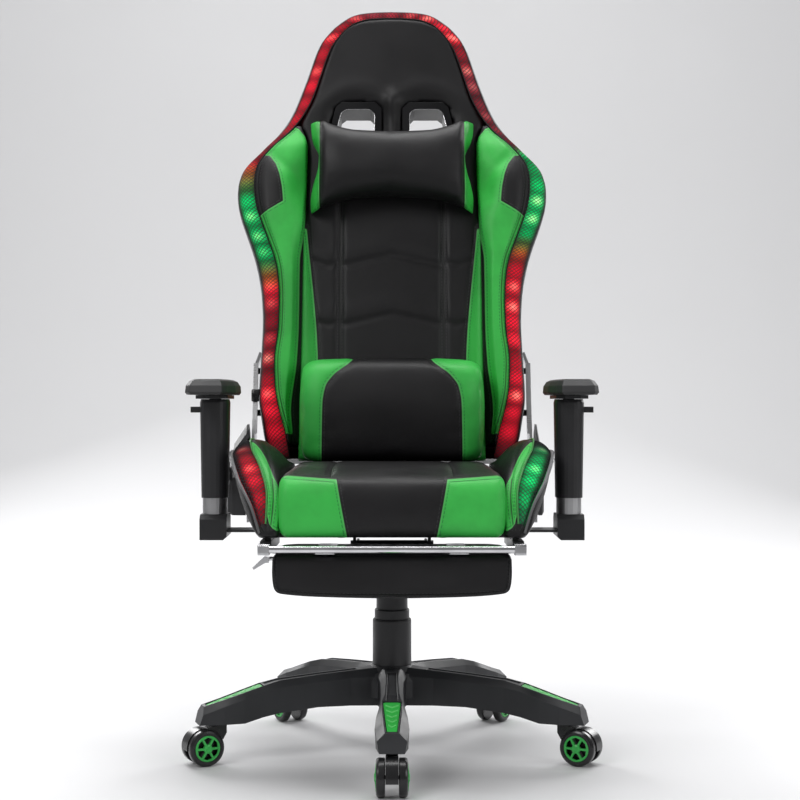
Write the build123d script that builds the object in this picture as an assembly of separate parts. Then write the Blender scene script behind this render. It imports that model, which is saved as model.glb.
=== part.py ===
"""A racing-style gaming chair on a five-arm caster base, with a recliner and a pull-out footrest.

Millimetres. +Z is up, the sitter faces -Y, and the origin is on the floor under the column.
"left" and "right" are as seen from in front: left is -X.
"""
from build123d import *

import os
from math import asin, copysign, cos, degrees, hypot, pi, radians, sin

os.makedirs("parts", exist_ok=True)

# base
HUB_TOP = 150
HUB_BOTTOM = 84
ARM_ANGLES = [-90, -18, 54, 126, 198]
STEM_REACH = 303
ARM_BOTTOM = 67
# rows of reach, top, bottom, half width, half width of the flat top and drop of the bevel
ARM_STATIONS = [
    (18, 149, 84, 30, 17, 14),
    (46, 146.5, 84.5, 24, 13, 13),
    (80, 144, 85.5, 19.5, 11, 12),
    (136, 140, 86, 18.5, 11, 12),
    (203, 134, 80, 18.5, 12.5, 11),
    (232, 127, 75, 20.5, 16.5, 9),
    (265, 116.8, 67, 25, 15.5, 9),
    (300, 105.9, 67, 27, 13, 9),
]
# the sloping end as (reach, height, half width)
ARM_TIP = [(341, 67, 19.5), (335.6, 85, 23.5), (332, 97, 11)]
INSERT_START = (232, 127)
INSERT_END = (326, 97.9)
INSERT_WIDTHS = (14.5, 8)
INSERT_DEPTH = 3.5
INSERT_FACE = -1.2
CHEVRONS = 5
CHEVRON_PITCH = 16
# the ribs under an arm stand between these hollows, as (start, end) of the reach
ARM_HOLLOWS = [(58, 104), (108, 158), (162, 212), (216, 276)]
# the shallow channel along the top of an arm as (reach, half width)
ARM_CHANNEL = [(64, 7.5), (136, 8), (203, 9), (227, 9.5)]
CHANNEL_DEPTH = 2
WEB_OUTLINE = [(30, 96), (49, 98), (50, 126), (44, 138), (30, 143)]
WEB_HALF = 11

# casters: the yoke's neck in side view, then the pair of wheels with their spoked caps
NECK_SIDE = [(-9, 64.4), (9, 64.4), (15, 62.5), (24, 61), (24, 38), (5, 35), (-3, 41), (-9, 51)]
WHEEL_RADIUS = 30
WHEEL_TRAIL = 30
TRAIL_ANGLES = [-90, -27, 59.6, 120.4, 207]
YOKE_HALF = 10
WHEEL_INNER = 10.6
CAP_RADIUS = 21.6
CAP_SEAT = 21
SPOKES = 6
SPOKE_HALF = 1.7
AXLE_RADIUS = 3
STEM_RADIUS = 5
RUNNING_GAP = 0.06
PRESS_GAP = 0.03

# gas lift
CYLINDER_RADIUS = 25
CYLINDER_TOP = 262
PISTON_RADIUS = 14
PISTON_TOP = 338

# tilt mechanism
TILT_Y = -25
TILT_Z = 360
TILT_PIN = 6
# an ear of the seat plate, in side view
TILT_EAR = [(-50, 382), (0, 382), (-15, 356), (-20, 350), (-30, 350), (-35, 356)]
HOUSING_HALF = 60
HOUSING_WALL = 4
HOUSING_SIDE = [(-48, 332), (-48, 368), (-10, 368), (105, 338), (105, 318), (-34, 318)]
PLATE_BOTTOM = 382
PLATE_TOP = 386
HANDLE_Y = -30
HANDLE_Z = 335
HANDLE_PIN = 2.5
HANDLE_ROD = 3.5
KNOB_Y = 74
KNOB_GRIPS = 8

# seat
CUSHION_HALF = 178
CUSHION_SIDE = [(-262, 388), (-270, 400), (-275, 430), (-272, 468), (-255, 487), (-200, 492),
                (180, 492), (200, 486), (222, 448), (225, 436), (225, 388)]
FRAME_HALF = 202
FRAME_TUBE = 24
FRAME_TOP = 400
STRAP_ROWS = (-90, 110)
BOLT_COLUMNS = (-85, 85)
BOLT_RADIUS = 4
# free space round the frame in the foam
FOAM_GAP = 0.2
# per station along Y: inner side, ridge, top, outer rim and foot as (x, z)
SEAT_WING_STATIONS = [
    (-262, [(178.5, 389), (178.5, 397), (190, 400), (199, 399), (208, 396), (207, 389)]),
    (-245, [(178.5, 388), (178.5, 440), (187, 446), (198, 446), (222, 436), (209, 388)]),
    (-205, [(178.5, 388), (178.5, 470), (193, 488), (209, 490), (246, 476), (214, 388)]),
    (-140, [(178.5, 388), (178.5, 486), (205, 520), (231, 527), (264, 513), (220, 388)]),
    (-80, [(178.5, 388), (178.5, 490), (214, 534), (237, 540), (267, 518), (222, 388)]),
    (0, [(178.5, 388), (178.5, 490), (212, 532), (237, 537), (265, 512), (224, 388)]),
    (70, [(178.5, 388), (178.5, 490), (208, 516), (230, 520), (253, 500), (226, 388)]),
    (125, [(178.5, 388), (178.5, 484), (204, 492), (224, 494), (240, 482), (226, 388)]),
    (205, [(178.5, 388), (178.5, 462), (200, 474), (220, 474), (236, 462), (224, 388)]),
]
LIGHT_STATIONS = slice(0, 5)
LIGHT_THICKNESS = 3

# backrest, drawn upright from its lower edge and then leant back
BACK_Y = 180
BACK_Z = 500
LEAN = 9
BOLSTER_INNER = [(540, 188), (583, 190), (673, 179), (740, 176), (858, 175), (930, 166), (1085, 162),
                 (1125, 173)]
BOLSTER_RISE = [(500, 20), (560, 38), (700, 45), (1000, 45), (1073, 30), (1125, 10), (1178, 6), (1340, 4)]
RIM_INNER = [(500, 186.5), (548, 196), (583, 206), (625, 214), (673, 216), (737, 209), (784, 208),
             (831, 210.5), (863, 216.5), (892, 227), (930, 241.5), (967, 253.5), (1007, 257.5),
             (1038, 254), (1073, 232), (1125, 182), (1178, 151.5), (1215, 139), (1288, 113),
             (1322, 80)]
OUTLINE = [(500, 218), (520, 230), (571, 239), (607, 245), (698, 241), (751, 239), (804, 242),
           (841, 248), (873, 256), (905, 267), (942, 280.5), (975, 289), (1002, 290.5), (1029, 284.5),
           (1078, 243), (1135, 195), (1209, 164), (1291, 135), (1322, 110), (1347, 73), (1353, 40)]
CUSHION_DEPTH = 40
SHELL_DEPTH = 66
# depth and inset of the shell's outline; the top edge comes in as well as the sides
SHELL_RINGS = [(CUSHION_DEPTH, 3), (SHELL_DEPTH - 8, 6), (SHELL_DEPTH, 16)]
SHELL_WAIST = 850
# the steel tubes inside, as (x, distance up the back), and the cross tubes between the two sides
TUBE_DEPTH = 53
TUBE_RADIUS = 8
SPACER_RADIUS = 6
SPACER_ROWS = (92, 172)
TUBE_CORNERS = [(203, 26), (212, 160), (210, 330), (240, 500), (238, 545), (150, 660), (118, 780), (60, 822)]
CROSS_TUBES = [(203, 26), (237, 480), (60, 822)]
# the openings for a belt: the bezel's outside and the hole in it
SLOT_OUTER = [(20, 1162), (20, 1100), (29, 1089), (99, 1089), (110, 1102), (116, 1126), (107, 1164),
              (96, 1174), (32, 1174)]
SLOT_INNER = [(33, 1152), (33, 1108), (39, 1100), (92, 1100), (99, 1108), (104, 1127), (97, 1154),
              (88, 1161), (42, 1161)]

# head pillow per station along X: lowest, highest and depth; the ends stand up at their corners
HEAD_PILLOW = [(-160, 466, 630, 40), (-139, 467, 630, 74), (-70, 482, 609, 90), (0, 487, 605, 92),
               (70, 482, 609, 90), (139, 467, 630, 74), (160, 466, 630, 40)]
# lumbar pillow per station along X: how far its edges come in
LUMBAR_PILLOW = [(-161, 16), (-130, 0), (130, 0), (161, 16)]

# recliner
PIVOT_Y = 190
PIVOT_Z = 478
ARM_PLATE = (253.5, 258.5)
PLATE_FLANGE = 249.5
BRACKET_PLATE = (259.5, 264.5)
COVER_INNER = 265
COVER_DEPTHS = {"left": (289, 299), "right": (271.5, 275.5)}
# the covers' outline on three planes along X: at the seat, at the bevel and outermost
COVER_OUTLINES = [
    [(126, 398), (126, 470), (150, 545), (170, 562), (214, 562), (236, 545), (258, 470), (258, 398)],
    [(130, 398), (130, 466), (152, 514), (172, 527), (212, 527), (232, 514), (254, 466), (254, 398)],
    [(138, 404), (138, 444), (156, 455), (174, 459), (210, 459), (228, 455), (246, 444), (246, 404)],
]
COVER_WALL = 3
LEVER_FACE = 299.4
PIN_RADIUS = 8
PLATE_END = 24
LEVER_THICKNESS = 6
LEVER_SIDE = [(190, 464), (150, 462), (112, 455), (100, 458), (99, 470), (110, 476), (150, 483), (190, 492)]

# armrests
ARMREST_X = 303
ARMREST_Y = -25
POST_TOP = 545
SLEEVE_BOTTOM = 440
SLEEVE_TOP = 608
POST_FOOT = 412
# the telescoping column is a flattened oval, below as half widths and half lengths
OVAL_SIDES = 28
OVAL_POWER = 0.72
POST_SIZE = (21, 27)
POST_BORE = (18, 24)
SLEEVE_BORE = (21.3, 27.3)
BUTTON_Z = 590
# the T-shaped rail under the pad, rows of half width, bottom and top
PAD_RAIL = [(5, 614, 619), (10, 618, 621)]
# the pad's outline from above, from the front round the outside
PAD_OUTLINE = [(-24, -125), (30, -125), (38, -112), (38, 95), (28, 122), (-18, 122), (-33, 108), (-39, 60),
               (-39, -40), (-30, -100)]
# up the pad: height, inset all round and setback of the front
PAD_RINGS = [(615, 3, 2), (619, 0, 0), (630, 1, 5), (638, 6, 14), (641, 13, 22)]

# footrest
BAR_Y = -276
BAR_Z = 372.5
BAR_RADIUS = 6
RAIL_X = 200.5
RAIL_END = 90
PAD_SIDE = [(-262, 300), (-262, 357), (-254, 365), (-66, 365), (-60, 358), (-60, 300), (-67, 293),
            (-255, 293)]


def ring_of(points):
    return Wire.make_polygon([Vector(*p) for p in points], close=True)


def prism(axis, points, low, high):
    """An outline across one axis, filled from low to high along it."""
    if axis == "X":
        corners = [(low, a, b) for a, b in points]
        way = Vector(high - low, 0, 0)
    elif axis == "Y":
        corners = [(a, low, b) for a, b in points]
        way = Vector(0, high - low, 0)
    else:
        corners = [(a, b, low) for a, b in points]
        way = Vector(0, 0, high - low)
    return Solid.extrude(Face(ring_of(corners)), way)


def block(x, y, z):
    return prism("Z", [(x[0], y[0]), (x[1], y[0]), (x[1], y[1]), (x[0], y[1])], z[0], z[1])


def rounded_block(x, y, z, cut):
    """A block whose four upright edges are cut back."""
    (a, b), (c, d) = x, y
    points = [(a + cut, c), (b - cut, c), (b, c + cut), (b, d - cut), (b - cut, d), (a + cut, d),
              (a, d - cut), (a, c + cut)]
    return prism("Z", points, z[0], z[1])


def rod(radius, start, end):
    line = Vector(*end) - Vector(*start)
    return Solid.make_cylinder(radius, line.length, Plane(origin=start, z_dir=line))


def turned(points):
    """An outline of (radius, height) turned about Z."""
    return Solid.revolve(Face(ring_of([(r, 0, z) for r, z in points])), 360, Axis.Z)


def turned_on_axle(points, x, z):
    """An outline of (radius, offset along Y) turned about an axle along Y."""
    axle = Axis((x, 0, z), (0, 1, 0))
    return Solid.revolve(Face(ring_of([(x, a, z + r) for r, a in points])), 360, axle)


def lofted(sections):
    return Solid.make_loft([ring_of(s) for s in sections], ruled=True)


def both_sides(solid):
    """The same solid at +X and, mirrored, at -X."""
    return [solid, solid.mirror(Plane.YZ)]


def at(table, key):
    """The value at a key, straight between the rows of a table sorted by key."""
    for (k0, v0), (k1, v1) in zip(table, table[1:]):
        if k0 <= key <= k1:
            return v0 + (v1 - v0) * (key - k0) / (k1 - k0)
    return table[-1][1] if key > table[-1][0] else table[0][1]


def save(name, *solids):
    pieces = []
    for s in solids:
        pieces += list(s.solids())
    shape = pieces[0] if len(pieces) == 1 else Compound(pieces)
    export_step(shape, f"parts/{name}.step")


# --- base ---


def arm_row(reach):
    """Top, bottom and half width of an arm at a reach."""
    return [at([(s[0], s[i]) for s in ARM_STATIONS], reach) for i in (1, 2, 3)]


def arm_section(x, top, bottom, half, flat, drop):
    return [(x, -half * 0.94, bottom), (x, -half, top - drop), (x, -flat, top),
            (x, flat, top), (x, half, top - drop), (x, half * 0.94, bottom)]


slope = Vector(INSERT_END[0] - INSERT_START[0], 0, INSERT_END[1] - INSERT_START[1])
insert_length = slope.length
insert_place = Plane(
    origin=(INSERT_START[0], 0, INSERT_START[1]), x_dir=slope, z_dir=slope.cross(Vector(0, -1, 0))
).location


def insert_outline(grow):
    wide, narrow = INSERT_WIDTHS
    return [(-grow, -wide - grow), (insert_length + grow, -narrow - grow),
            (insert_length + grow, narrow + grow), (-grow, wide + grow)]


tip_section = [(x, -half, z) for x, z, half in ARM_TIP] + [(x, half, z) for x, z, half in reversed(ARM_TIP)]
arm = lofted([arm_section(*s) for s in ARM_STATIONS] + [tip_section])
# the shallow channel along the top
channel = []
for reach, half in ARM_CHANNEL:
    top = arm_row(reach)[0]
    floor = top - CHANNEL_DEPTH
    channel.append([(reach, -half, floor), (reach, half, floor), (reach, half, top + 6),
                    (reach, -half, top + 6)])
arm -= lofted(channel)
# ribbed hollow underneath
for low, high in ARM_HOLLOWS:
    hollow = []
    for reach in (low, high):
        top, bottom, half = arm_row(reach)
        hollow.append([(reach, 5 - half, bottom - 9), (reach, half - 5, bottom - 9),
                       (reach, half - 6, top - 17), (reach, half - 10, top - 8),
                       (reach, 10 - half, top - 8), (reach, 6 - half, top - 17)])
    arm -= lofted(hollow)
arm -= insert_place * prism("Z", insert_outline(1), -INSERT_DEPTH, 8)
arm -= rod(STEM_RADIUS + 0.55, (STEM_REACH, 0, 60), (STEM_REACH, 0, 90.5))

insert = prism("Z", insert_outline(0), -INSERT_DEPTH, INSERT_FACE)
for n in range(CHEVRONS):
    x = 9 + n * CHEVRON_PITCH
    half = INSERT_WIDTHS[0] - (INSERT_WIDTHS[0] - INSERT_WIDTHS[1]) * x / insert_length - 3
    insert += prism("Z", [(x, -half), (x + 7, 0), (x, half), (x + 4, half), (x + 11, 0), (x + 4, -half)],
                    INSERT_FACE - 0.2, INSERT_FACE + 0.9)
insert = insert_place * insert

stem = turned([(0, 47), (4.2, 47), (STEM_RADIUS, 48), (STEM_RADIUS, 65), (9, 65), (9, ARM_BOTTOM),
               (5.5, ARM_BOTTOM), (5.5, 89), (4.5, 90), (0, 90)])

star = turned([(CYLINDER_RADIUS + PRESS_GAP, HUB_BOTTOM), (36, HUB_BOTTOM), (39, 88), (40, 128), (37, 145),
               (34, HUB_TOP), (CYLINDER_RADIUS + PRESS_GAP, HUB_TOP)])
bore = rod(CYLINDER_RADIUS + PRESS_GAP, (0, 0, 60), (0, 0, 170))
inserts = []
stems = []
for angle in ARM_ANGLES:
    turn = Rot(0, 0, angle)
    star += turn * (arm - bore)
    # a short web between two arms
    star += Rot(0, 0, angle + 36) * prism("Y", WEB_OUTLINE, -WEB_HALF, WEB_HALF)
    inserts.append(turn * insert)
    stems.append(turn * Pos(STEM_REACH, 0, 0) * stem)
star -= bore
save("base_star", star)
save("arm_inserts", *inserts)
save("caster_stems", *stems)

save("gas_cylinder", turned([
    (0, 76), (23, 76), (CYLINDER_RADIUS, 80), (CYLINDER_RADIUS, CYLINDER_TOP - 2), (23, CYLINDER_TOP),
    (PISTON_RADIUS + 0.35, CYLINDER_TOP), (PISTON_RADIUS + 0.35, 215), (22, 215), (22, 81), (0, 81)]))
save("lift_cover_lower", turned([
    (CYLINDER_RADIUS + 0.6, HUB_TOP), (33, HUB_TOP), (33.5, 151), (33.5, 226), (32.5, 229), (31.2, 229),
    (31.2, 153), (CYLINDER_RADIUS + 0.6, 153)]))
save("lift_rod", turned([
    (0, 81.2), (18, 81.2), (18, 87), (5, 87), (5, 226), (10.8, 226), (10.8, 236), (0, 236)]))
save("lift_cover_middle", turned([(28.1, 182), (30, 182), (30, 244), (29, 246), (28.1, 246)]))

# --- casters ---

axle_x = WHEEL_TRAIL
axle_z = WHEEL_RADIUS
yoke = rod(31.5, (axle_x, -YOKE_HALF, axle_z), (axle_x, YOKE_HALF, axle_z))
yoke &= block((-20, 80), (-20, 20), (26, 80))
yoke += rod(8, (axle_x, -YOKE_HALF, axle_z), (axle_x, YOKE_HALF, axle_z))
yoke += rod(9.5, (0, 0, 50), (0, 0, 64.4))
# the neck between the stem and the hood
yoke += prism("Y", NECK_SIDE, -9.5, 9.5)
yoke -= rod(STEM_RADIUS + RUNNING_GAP, (0, 0, 46.5), (0, 0, 70))
yoke += rod(AXLE_RADIUS, (axle_x, -20.8, axle_z), (axle_x, 20.8, axle_z))

bore_radius = AXLE_RADIUS + RUNNING_GAP
wheel = turned_on_axle([
    (bore_radius, WHEEL_INNER), (28.5, WHEEL_INNER), (30, 12), (30, 20.5), (29, 23), (26, 24.6),
    (CAP_RADIUS + 0.2, 24.6), (CAP_RADIUS + 0.2, 14), (7, 14), (7, CAP_SEAT), (bore_radius, CAP_SEAT)],
    axle_x, axle_z)
cap = turned_on_axle([
    (0, CAP_SEAT), (CAP_RADIUS, CAP_SEAT), (CAP_RADIUS, 24.2), (20.6, 25.2), (18.6, 25.2), (7, 26.4),
    (5, 27.4), (0, 27.4)], axle_x, axle_z)
for n in range(SPOKES):
    window = []
    for radius, side in ((7.6, -1), (17.8, -1), (18.8, 0), (17.8, 1), (7.6, 1)):
        spread = side * (180 / SPOKES - degrees(asin(SPOKE_HALF / radius)))
        bearing = radians(360 / SPOKES * (n + 0.5) + spread)
        window.append((axle_x + radius * cos(bearing), axle_z + radius * sin(bearing)))
    cap -= prism("Y", window, 20, 29)

for n, (angle, trail) in enumerate(zip(ARM_ANGLES, TRAIL_ANGLES), 1):
    foot = (STEM_REACH * cos(radians(angle)), STEM_REACH * sin(radians(angle)), 0)
    place = Pos(*foot) * Rot(0, 0, trail)
    save(f"caster_{n}_yoke", place * yoke)
    save(f"caster_{n}_wheels", place * wheel, place * wheel.mirror(Plane.XZ))
    save(f"caster_{n}_caps", place * cap, place * cap.mirror(Plane.XZ))

# --- mechanism ---

save("gas_piston", turned([
    (5.2, 140), (PISTON_RADIUS, 140), (PISTON_RADIUS, PISTON_TOP), (0, PISTON_TOP), (0, 330), (11, 330),
    (11, 146), (5.2, 146)]))
save("lift_cover_upper", turned([(25.5, 201), (27, 201), (27, 318), (25.5, 318)]))

housing = prism("X", HOUSING_SIDE, -HOUSING_HALF, HOUSING_HALF)
hollow_half = HOUSING_HALF - HOUSING_WALL
housing -= block((-hollow_half, hollow_half), (-44, 101), (322, 400))
housing += rod(20, (0, 0, 312), (0, 0, 345))
housing -= rod(PISTON_RADIUS + 0.04, (0, 0, 300), (0, 0, PISTON_TOP))
housing += rod(TILT_PIN, (-71, TILT_Y, TILT_Z), (71, TILT_Y, TILT_Z))
# ears that hold the height lever
for low, high in ((HANDLE_Y - 8, HANDLE_Y - 4.2), (HANDLE_Y + 4.2, HANDLE_Y + 8)):
    housing += block((-76, -HOUSING_HALF), (low, high), (326, 344))
housing -= rod(HANDLE_PIN + RUNNING_GAP, (-69, HANDLE_Y - 9, HANDLE_Z), (-69, HANDLE_Y + 9, HANDLE_Z))
# threaded stub for the tension knob
housing += rod(5, (0, KNOB_Y, 298), (0, KNOB_Y, 319))
save("tilt_housing", housing)

handle = block((-76, -63), (HANDLE_Y - 4, HANDLE_Y + 4), (HANDLE_Z - 6, HANDLE_Z + 6))
handle += rod(HANDLE_PIN, (-69, HANDLE_Y - 8, HANDLE_Z), (-69, HANDLE_Y + 8, HANDLE_Z))
handle += rod(HANDLE_ROD, (-75, HANDLE_Y, HANDLE_Z), (-212, HANDLE_Y, HANDLE_Z))
handle += rod(HANDLE_ROD, (-212, HANDLE_Y, HANDLE_Z), (-212, HANDLE_Y - 16, HANDLE_Z))
handle += prism("Y", [(-208, 340), (-216, 342), (-236, 323), (-234, 319), (-214, 331), (-208, 331)],
                HANDLE_Y - 36, HANDLE_Y - 12)
save("height_lever", handle)

knob = turned([(5.06, 290), (20, 290), (23, 293), (23, 313), (20, 316), (5.06, 316)])
for n in range(KNOB_GRIPS):
    knob -= Rot(0, 0, 360 / KNOB_GRIPS * n) * rod(4, (26, 0, 280), (26, 0, 320))
save("tension_knob", Pos(0, KNOB_Y, 0) * knob)

# --- seat ---

bolt_spots = [(x, y) for x in BOLT_COLUMNS for y in STRAP_ROWS]
plate = block((-105, 105), (-114, 134), (PLATE_BOTTOM, PLATE_TOP))
for side in (-1, 1):
    x = sorted((side * 61.5, side * 66.5))
    plate += prism("X", TILT_EAR, *x)
plate -= rod(TILT_PIN + RUNNING_GAP, (-80, TILT_Y, TILT_Z), (80, TILT_Y, TILT_Z))
frame = block((-FRAME_HALF, FRAME_HALF), (-212, 212), (PLATE_TOP, FRAME_TOP))
inner = FRAME_HALF - FRAME_TUBE
frame -= block((-inner, inner), (-188, 188), (PLATE_TOP - 1, FRAME_TOP + 1))
for y in STRAP_ROWS:
    frame += block((-inner, inner), (y - 20, y + 20), (PLATE_TOP, PLATE_TOP + 4))
for low, high in ((-BRACKET_PLATE[0], -FRAME_HALF), (FRAME_HALF, BRACKET_PLATE[0])):
    frame += block((low, high), (172, 200), (PLATE_TOP, FRAME_TOP))
bolts = []
for x, y in bolt_spots:
    hole = rod(BOLT_RADIUS + 0.05, (x, y, PLATE_BOTTOM - 2), (x, y, FRAME_TOP))
    plate -= hole
    frame -= hole
    bolts.append(Pos(x, y, 0) * turned([
        (0, 376), (7, 376), (7.5, 377), (7.5, PLATE_BOTTOM), (BOLT_RADIUS, PLATE_BOTTOM),
        (BOLT_RADIUS, PLATE_TOP + 6), (0, PLATE_TOP + 6)]))
save("seat_plate", plate)
save("seat_bolts", *bolts)
save("seat_frame", frame)

# the space that the frame takes up in the foam above it
room_half = FRAME_HALF + FOAM_GAP
room_top = FRAME_TOP + FOAM_GAP
room = block((-room_half, room_half), (-212 - FOAM_GAP, 212 + FOAM_GAP), (370, room_top))
room -= block((FOAM_GAP - inner, inner - FOAM_GAP), (FOAM_GAP - 188, 188 - FOAM_GAP), (360, 410))
for y in STRAP_ROWS:
    room += block((-inner, inner), (y - 20 - FOAM_GAP, y + 20 + FOAM_GAP), (370, PLATE_TOP + 8))
room += block((-BRACKET_PLATE[1], BRACKET_PLATE[1]), (172 - FOAM_GAP, 200 + FOAM_GAP), (370, room_top))
save("seat_cushion", prism("X", CUSHION_SIDE, -CUSHION_HALF, CUSHION_HALF) - room)
wing = lofted([[(x, y, z) for x, z in points] for y, points in SEAT_WING_STATIONS])
save("seat_wings", *both_sides(wing - room))

panel = []
for y, points in SEAT_WING_STATIONS[LIGHT_STATIONS]:
    (x0, z0), (x1, z1) = points[3], points[4]
    length = hypot(x1 - x0, z1 - z0)
    lift = Vector(z0 - z1, 0, x1 - x0) * (LIGHT_THICKNESS / length)
    low = Vector(x0, y, z0) * 0.94 + Vector(x1, y, z1) * 0.06
    high = Vector(x0, y, z0) * 0.14 + Vector(x1, y, z1) * 0.86
    panel.append([tuple(low), tuple(high), tuple(high + lift), tuple(low + lift)])
save("seat_light_mesh", *both_sides(lofted(panel)))

bracket = prism("X", [(146, 384), (234, 384), (234, 400), (212, 470), (168, 470), (146, 400)], *BRACKET_PLATE)
bracket += rod(PLATE_END, (BRACKET_PLATE[0], PIVOT_Y, PIVOT_Z), (BRACKET_PLATE[1], PIVOT_Y, PIVOT_Z))
bracket -= rod(PIN_RADIUS + RUNNING_GAP, (ARM_PLATE[0], PIVOT_Y, PIVOT_Z), (COVER_INNER, PIVOT_Y, PIVOT_Z))
save("recliner_lower_brackets", *both_sides(bracket))



def cover_block(depths, shrink):
    rows = []
    for x, outline in zip(depths, COVER_OUTLINES):
        rows.append([(x, PIVOT_Y + (y - PIVOT_Y) * shrink, 474 + (z - 474) * shrink) for y, z in outline])
    return lofted(rows)


covers = []
for side, (middle, outer) in COVER_DEPTHS.items():
    cover = cover_block((COVER_INNER, middle, outer), 1)
    cover -= cover_block((COVER_INNER - 1, middle - COVER_WALL, outer - COVER_WALL), 0.93)
    if side == "left":
        cover -= rod(5 + RUNNING_GAP, (270, PIVOT_Y, PIVOT_Z), (310, PIVOT_Y, PIVOT_Z))
        cover = cover.mirror(Plane.YZ)
    covers.append(cover)
save("recliner_covers", *covers)

lever = rod(5, (286, PIVOT_Y, PIVOT_Z), (LEVER_FACE + 1, PIVOT_Y, PIVOT_Z))
lever += rod(15, (LEVER_FACE, PIVOT_Y, PIVOT_Z), (LEVER_FACE + LEVER_THICKNESS, PIVOT_Y, PIVOT_Z))
lever += prism("X", LEVER_SIDE, LEVER_FACE, LEVER_FACE + LEVER_THICKNESS)
save("recline_lever", lever.mirror(Plane.YZ))

# --- backrest ---

lean_back = Pos(0, BACK_Y, BACK_Z) * Rot(-LEAN, 0, 0)


def along(z):
    """Distance up the leaning backrest at a height above the floor."""
    return (z - BACK_Z) / cos(radians(LEAN))


def heights(low, high, *tables):
    keys = {k for table in tables for k, _ in table}
    return sorted({low, high} | {k for k in keys if low < k < high})


def mirrored(right):
    """A closed outline from its right half, listed upwards as (x, height)."""
    points = [(x, along(z)) for x, z in right]
    return points + [(-x, z) for x, z in reversed(points)]


outer = [(x, z) for z, x in OUTLINE]
cushion_edge = [(186, 500), (at(RIM_INNER, 540) - 0.4, 540)]
cushion_edge += [(x - 0.2, z) for z, x in BOLSTER_INNER]
cushion_edge += [(x, z) for z, x in RIM_INNER if z >= 1125]
cushion_edge += [(104, 1325), (73, 1346), (40, 1353)]
slots = [(x, along(z)) for x, z in SLOT_OUTER]
holes = [(x, along(z)) for x, z in SLOT_INNER]
back_cushion = prism("Y", mirrored(cushion_edge), 0, CUSHION_DEPTH)
rings = []
for y, inset in SHELL_RINGS:
    ring = []
    for x, z in mirrored(outer):
        ring.append((x - inset if x > 0 else x + inset, y, z - inset if z > SHELL_WAIST else z))
    rings.append(ring)
shell = lofted(rings)
slot = prism("Y", slots, -0.8, SHELL_DEPTH + 3)
opening = prism("Y", holes, -4, SHELL_DEPTH + 4)
for s in both_sides(slot):
    back_cushion -= s
    shell -= s

tubes = None
for side in (-1, 1):
    for (x0, z0), (x1, z1) in zip(TUBE_CORNERS, TUBE_CORNERS[1:]):
        piece = rod(TUBE_RADIUS, (side * x0, TUBE_DEPTH, z0), (side * x1, TUBE_DEPTH, z1))
        tubes = piece if tubes is None else tubes + piece
    for x, z in TUBE_CORNERS:
        tubes += Pos(side * x, TUBE_DEPTH, z) * Solid.make_sphere(TUBE_RADIUS)
    for z in SPACER_ROWS:
        tubes += rod(SPACER_RADIUS, (side * 205, TUBE_DEPTH, z), (side * ARM_PLATE[0], TUBE_DEPTH, z))
for x, z in CROSS_TUBES:
    tubes += rod(TUBE_RADIUS, (-x, TUBE_DEPTH, z), (x, TUBE_DEPTH, z))
save("backrest_frame", lean_back * tubes)
save("backrest_cushion", lean_back * back_cushion)
save("backrest_shell", lean_back * (shell - tubes))
save("slot_bezels", *[lean_back * s for s in both_sides(slot - opening)])

sections = []
for z in heights(540, 1125, BOLSTER_INNER, RIM_INNER):
    near, far, rise = at(BOLSTER_INNER, z), at(RIM_INNER, z), at(BOLSTER_RISE, z)
    wide = far - near
    sections.append([(x, y, along(z)) for x, y in (
        (near, 0), (near + 0.3 * wide, -0.8 * rise), (near + 0.75 * wide, -rise), (far, -0.85 * rise),
        (far, CUSHION_DEPTH), (near, CUSHION_DEPTH))])
save("backrest_wings", *[lean_back * s for s in both_sides(lofted(sections))])
sections = []
for z in heights(500, 1322, RIM_INNER, OUTLINE):
    near, far, rise = at(RIM_INNER, z) + 0.4, at(OUTLINE, z), at(BOLSTER_RISE, z)
    sections.append([(x, y, along(z)) for x, y in (
        (near, -0.85 * rise), (far - 0.15 * (far - near), -0.2 * rise), (far, 5), (far - 2, CUSHION_DEPTH),
        (near, CUSHION_DEPTH))])
save("backrest_light_mesh", *[lean_back * s for s in both_sides(lofted(sections))])

arm_plate = prism("X", [(168, 466), (212, 466), (262, 572), (272, 650), (270, 676), (226, 676), (206, 600),
                        (166, 490)], *ARM_PLATE)
# its front edge is flanged, and the top bends in over the side of the shell
arm_plate += prism("X", [(186, 545), (206, 600), (226, 676), (229.5, 675), (209.5, 599), (189.5, 544)],
                   PLATE_FLANGE, ARM_PLATE[0])
arm_plate += prism("Y", [(253.5, 666), (258.5, 670), (248, 697), (243.5, 694)], 232, 268)
arm_plate += rod(PLATE_END, (ARM_PLATE[0], PIVOT_Y, PIVOT_Z), (ARM_PLATE[1], PIVOT_Y, PIVOT_Z))
arm_plate += rod(PIN_RADIUS, (ARM_PLATE[0], PIVOT_Y, PIVOT_Z), (BRACKET_PLATE[1] + 0.3, PIVOT_Y, PIVOT_Z))
save("recliner_upper_arms", *both_sides(arm_plate))

pillow = []
for x, low, high, depth in HEAD_PILLOW:
    rise = 0.28 * (high - low)
    pillow.append([(x, y, z) for y, z in (
        (-1, low + 8), (-0.5 * depth, low), (-depth, low + rise), (-depth, high - rise), (-0.5 * depth, high),
        (-1, high - 8))])
save("head_pillow", lean_back * lofted(pillow))
lumbar = []
for x, inset in LUMBAR_PILLOW:
    lumbar.append([(x, y, z) for y, z in (
        (179.8, 502), (100, 496 + inset / 2), (80 + inset, 512), (76 + inset, 600),
        (84 + inset, 664 - inset / 2), (112 + inset / 2, 684 - inset), (208, 684))])
save("lumbar_pillow", lofted(lumbar))

# --- armrests ---


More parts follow.
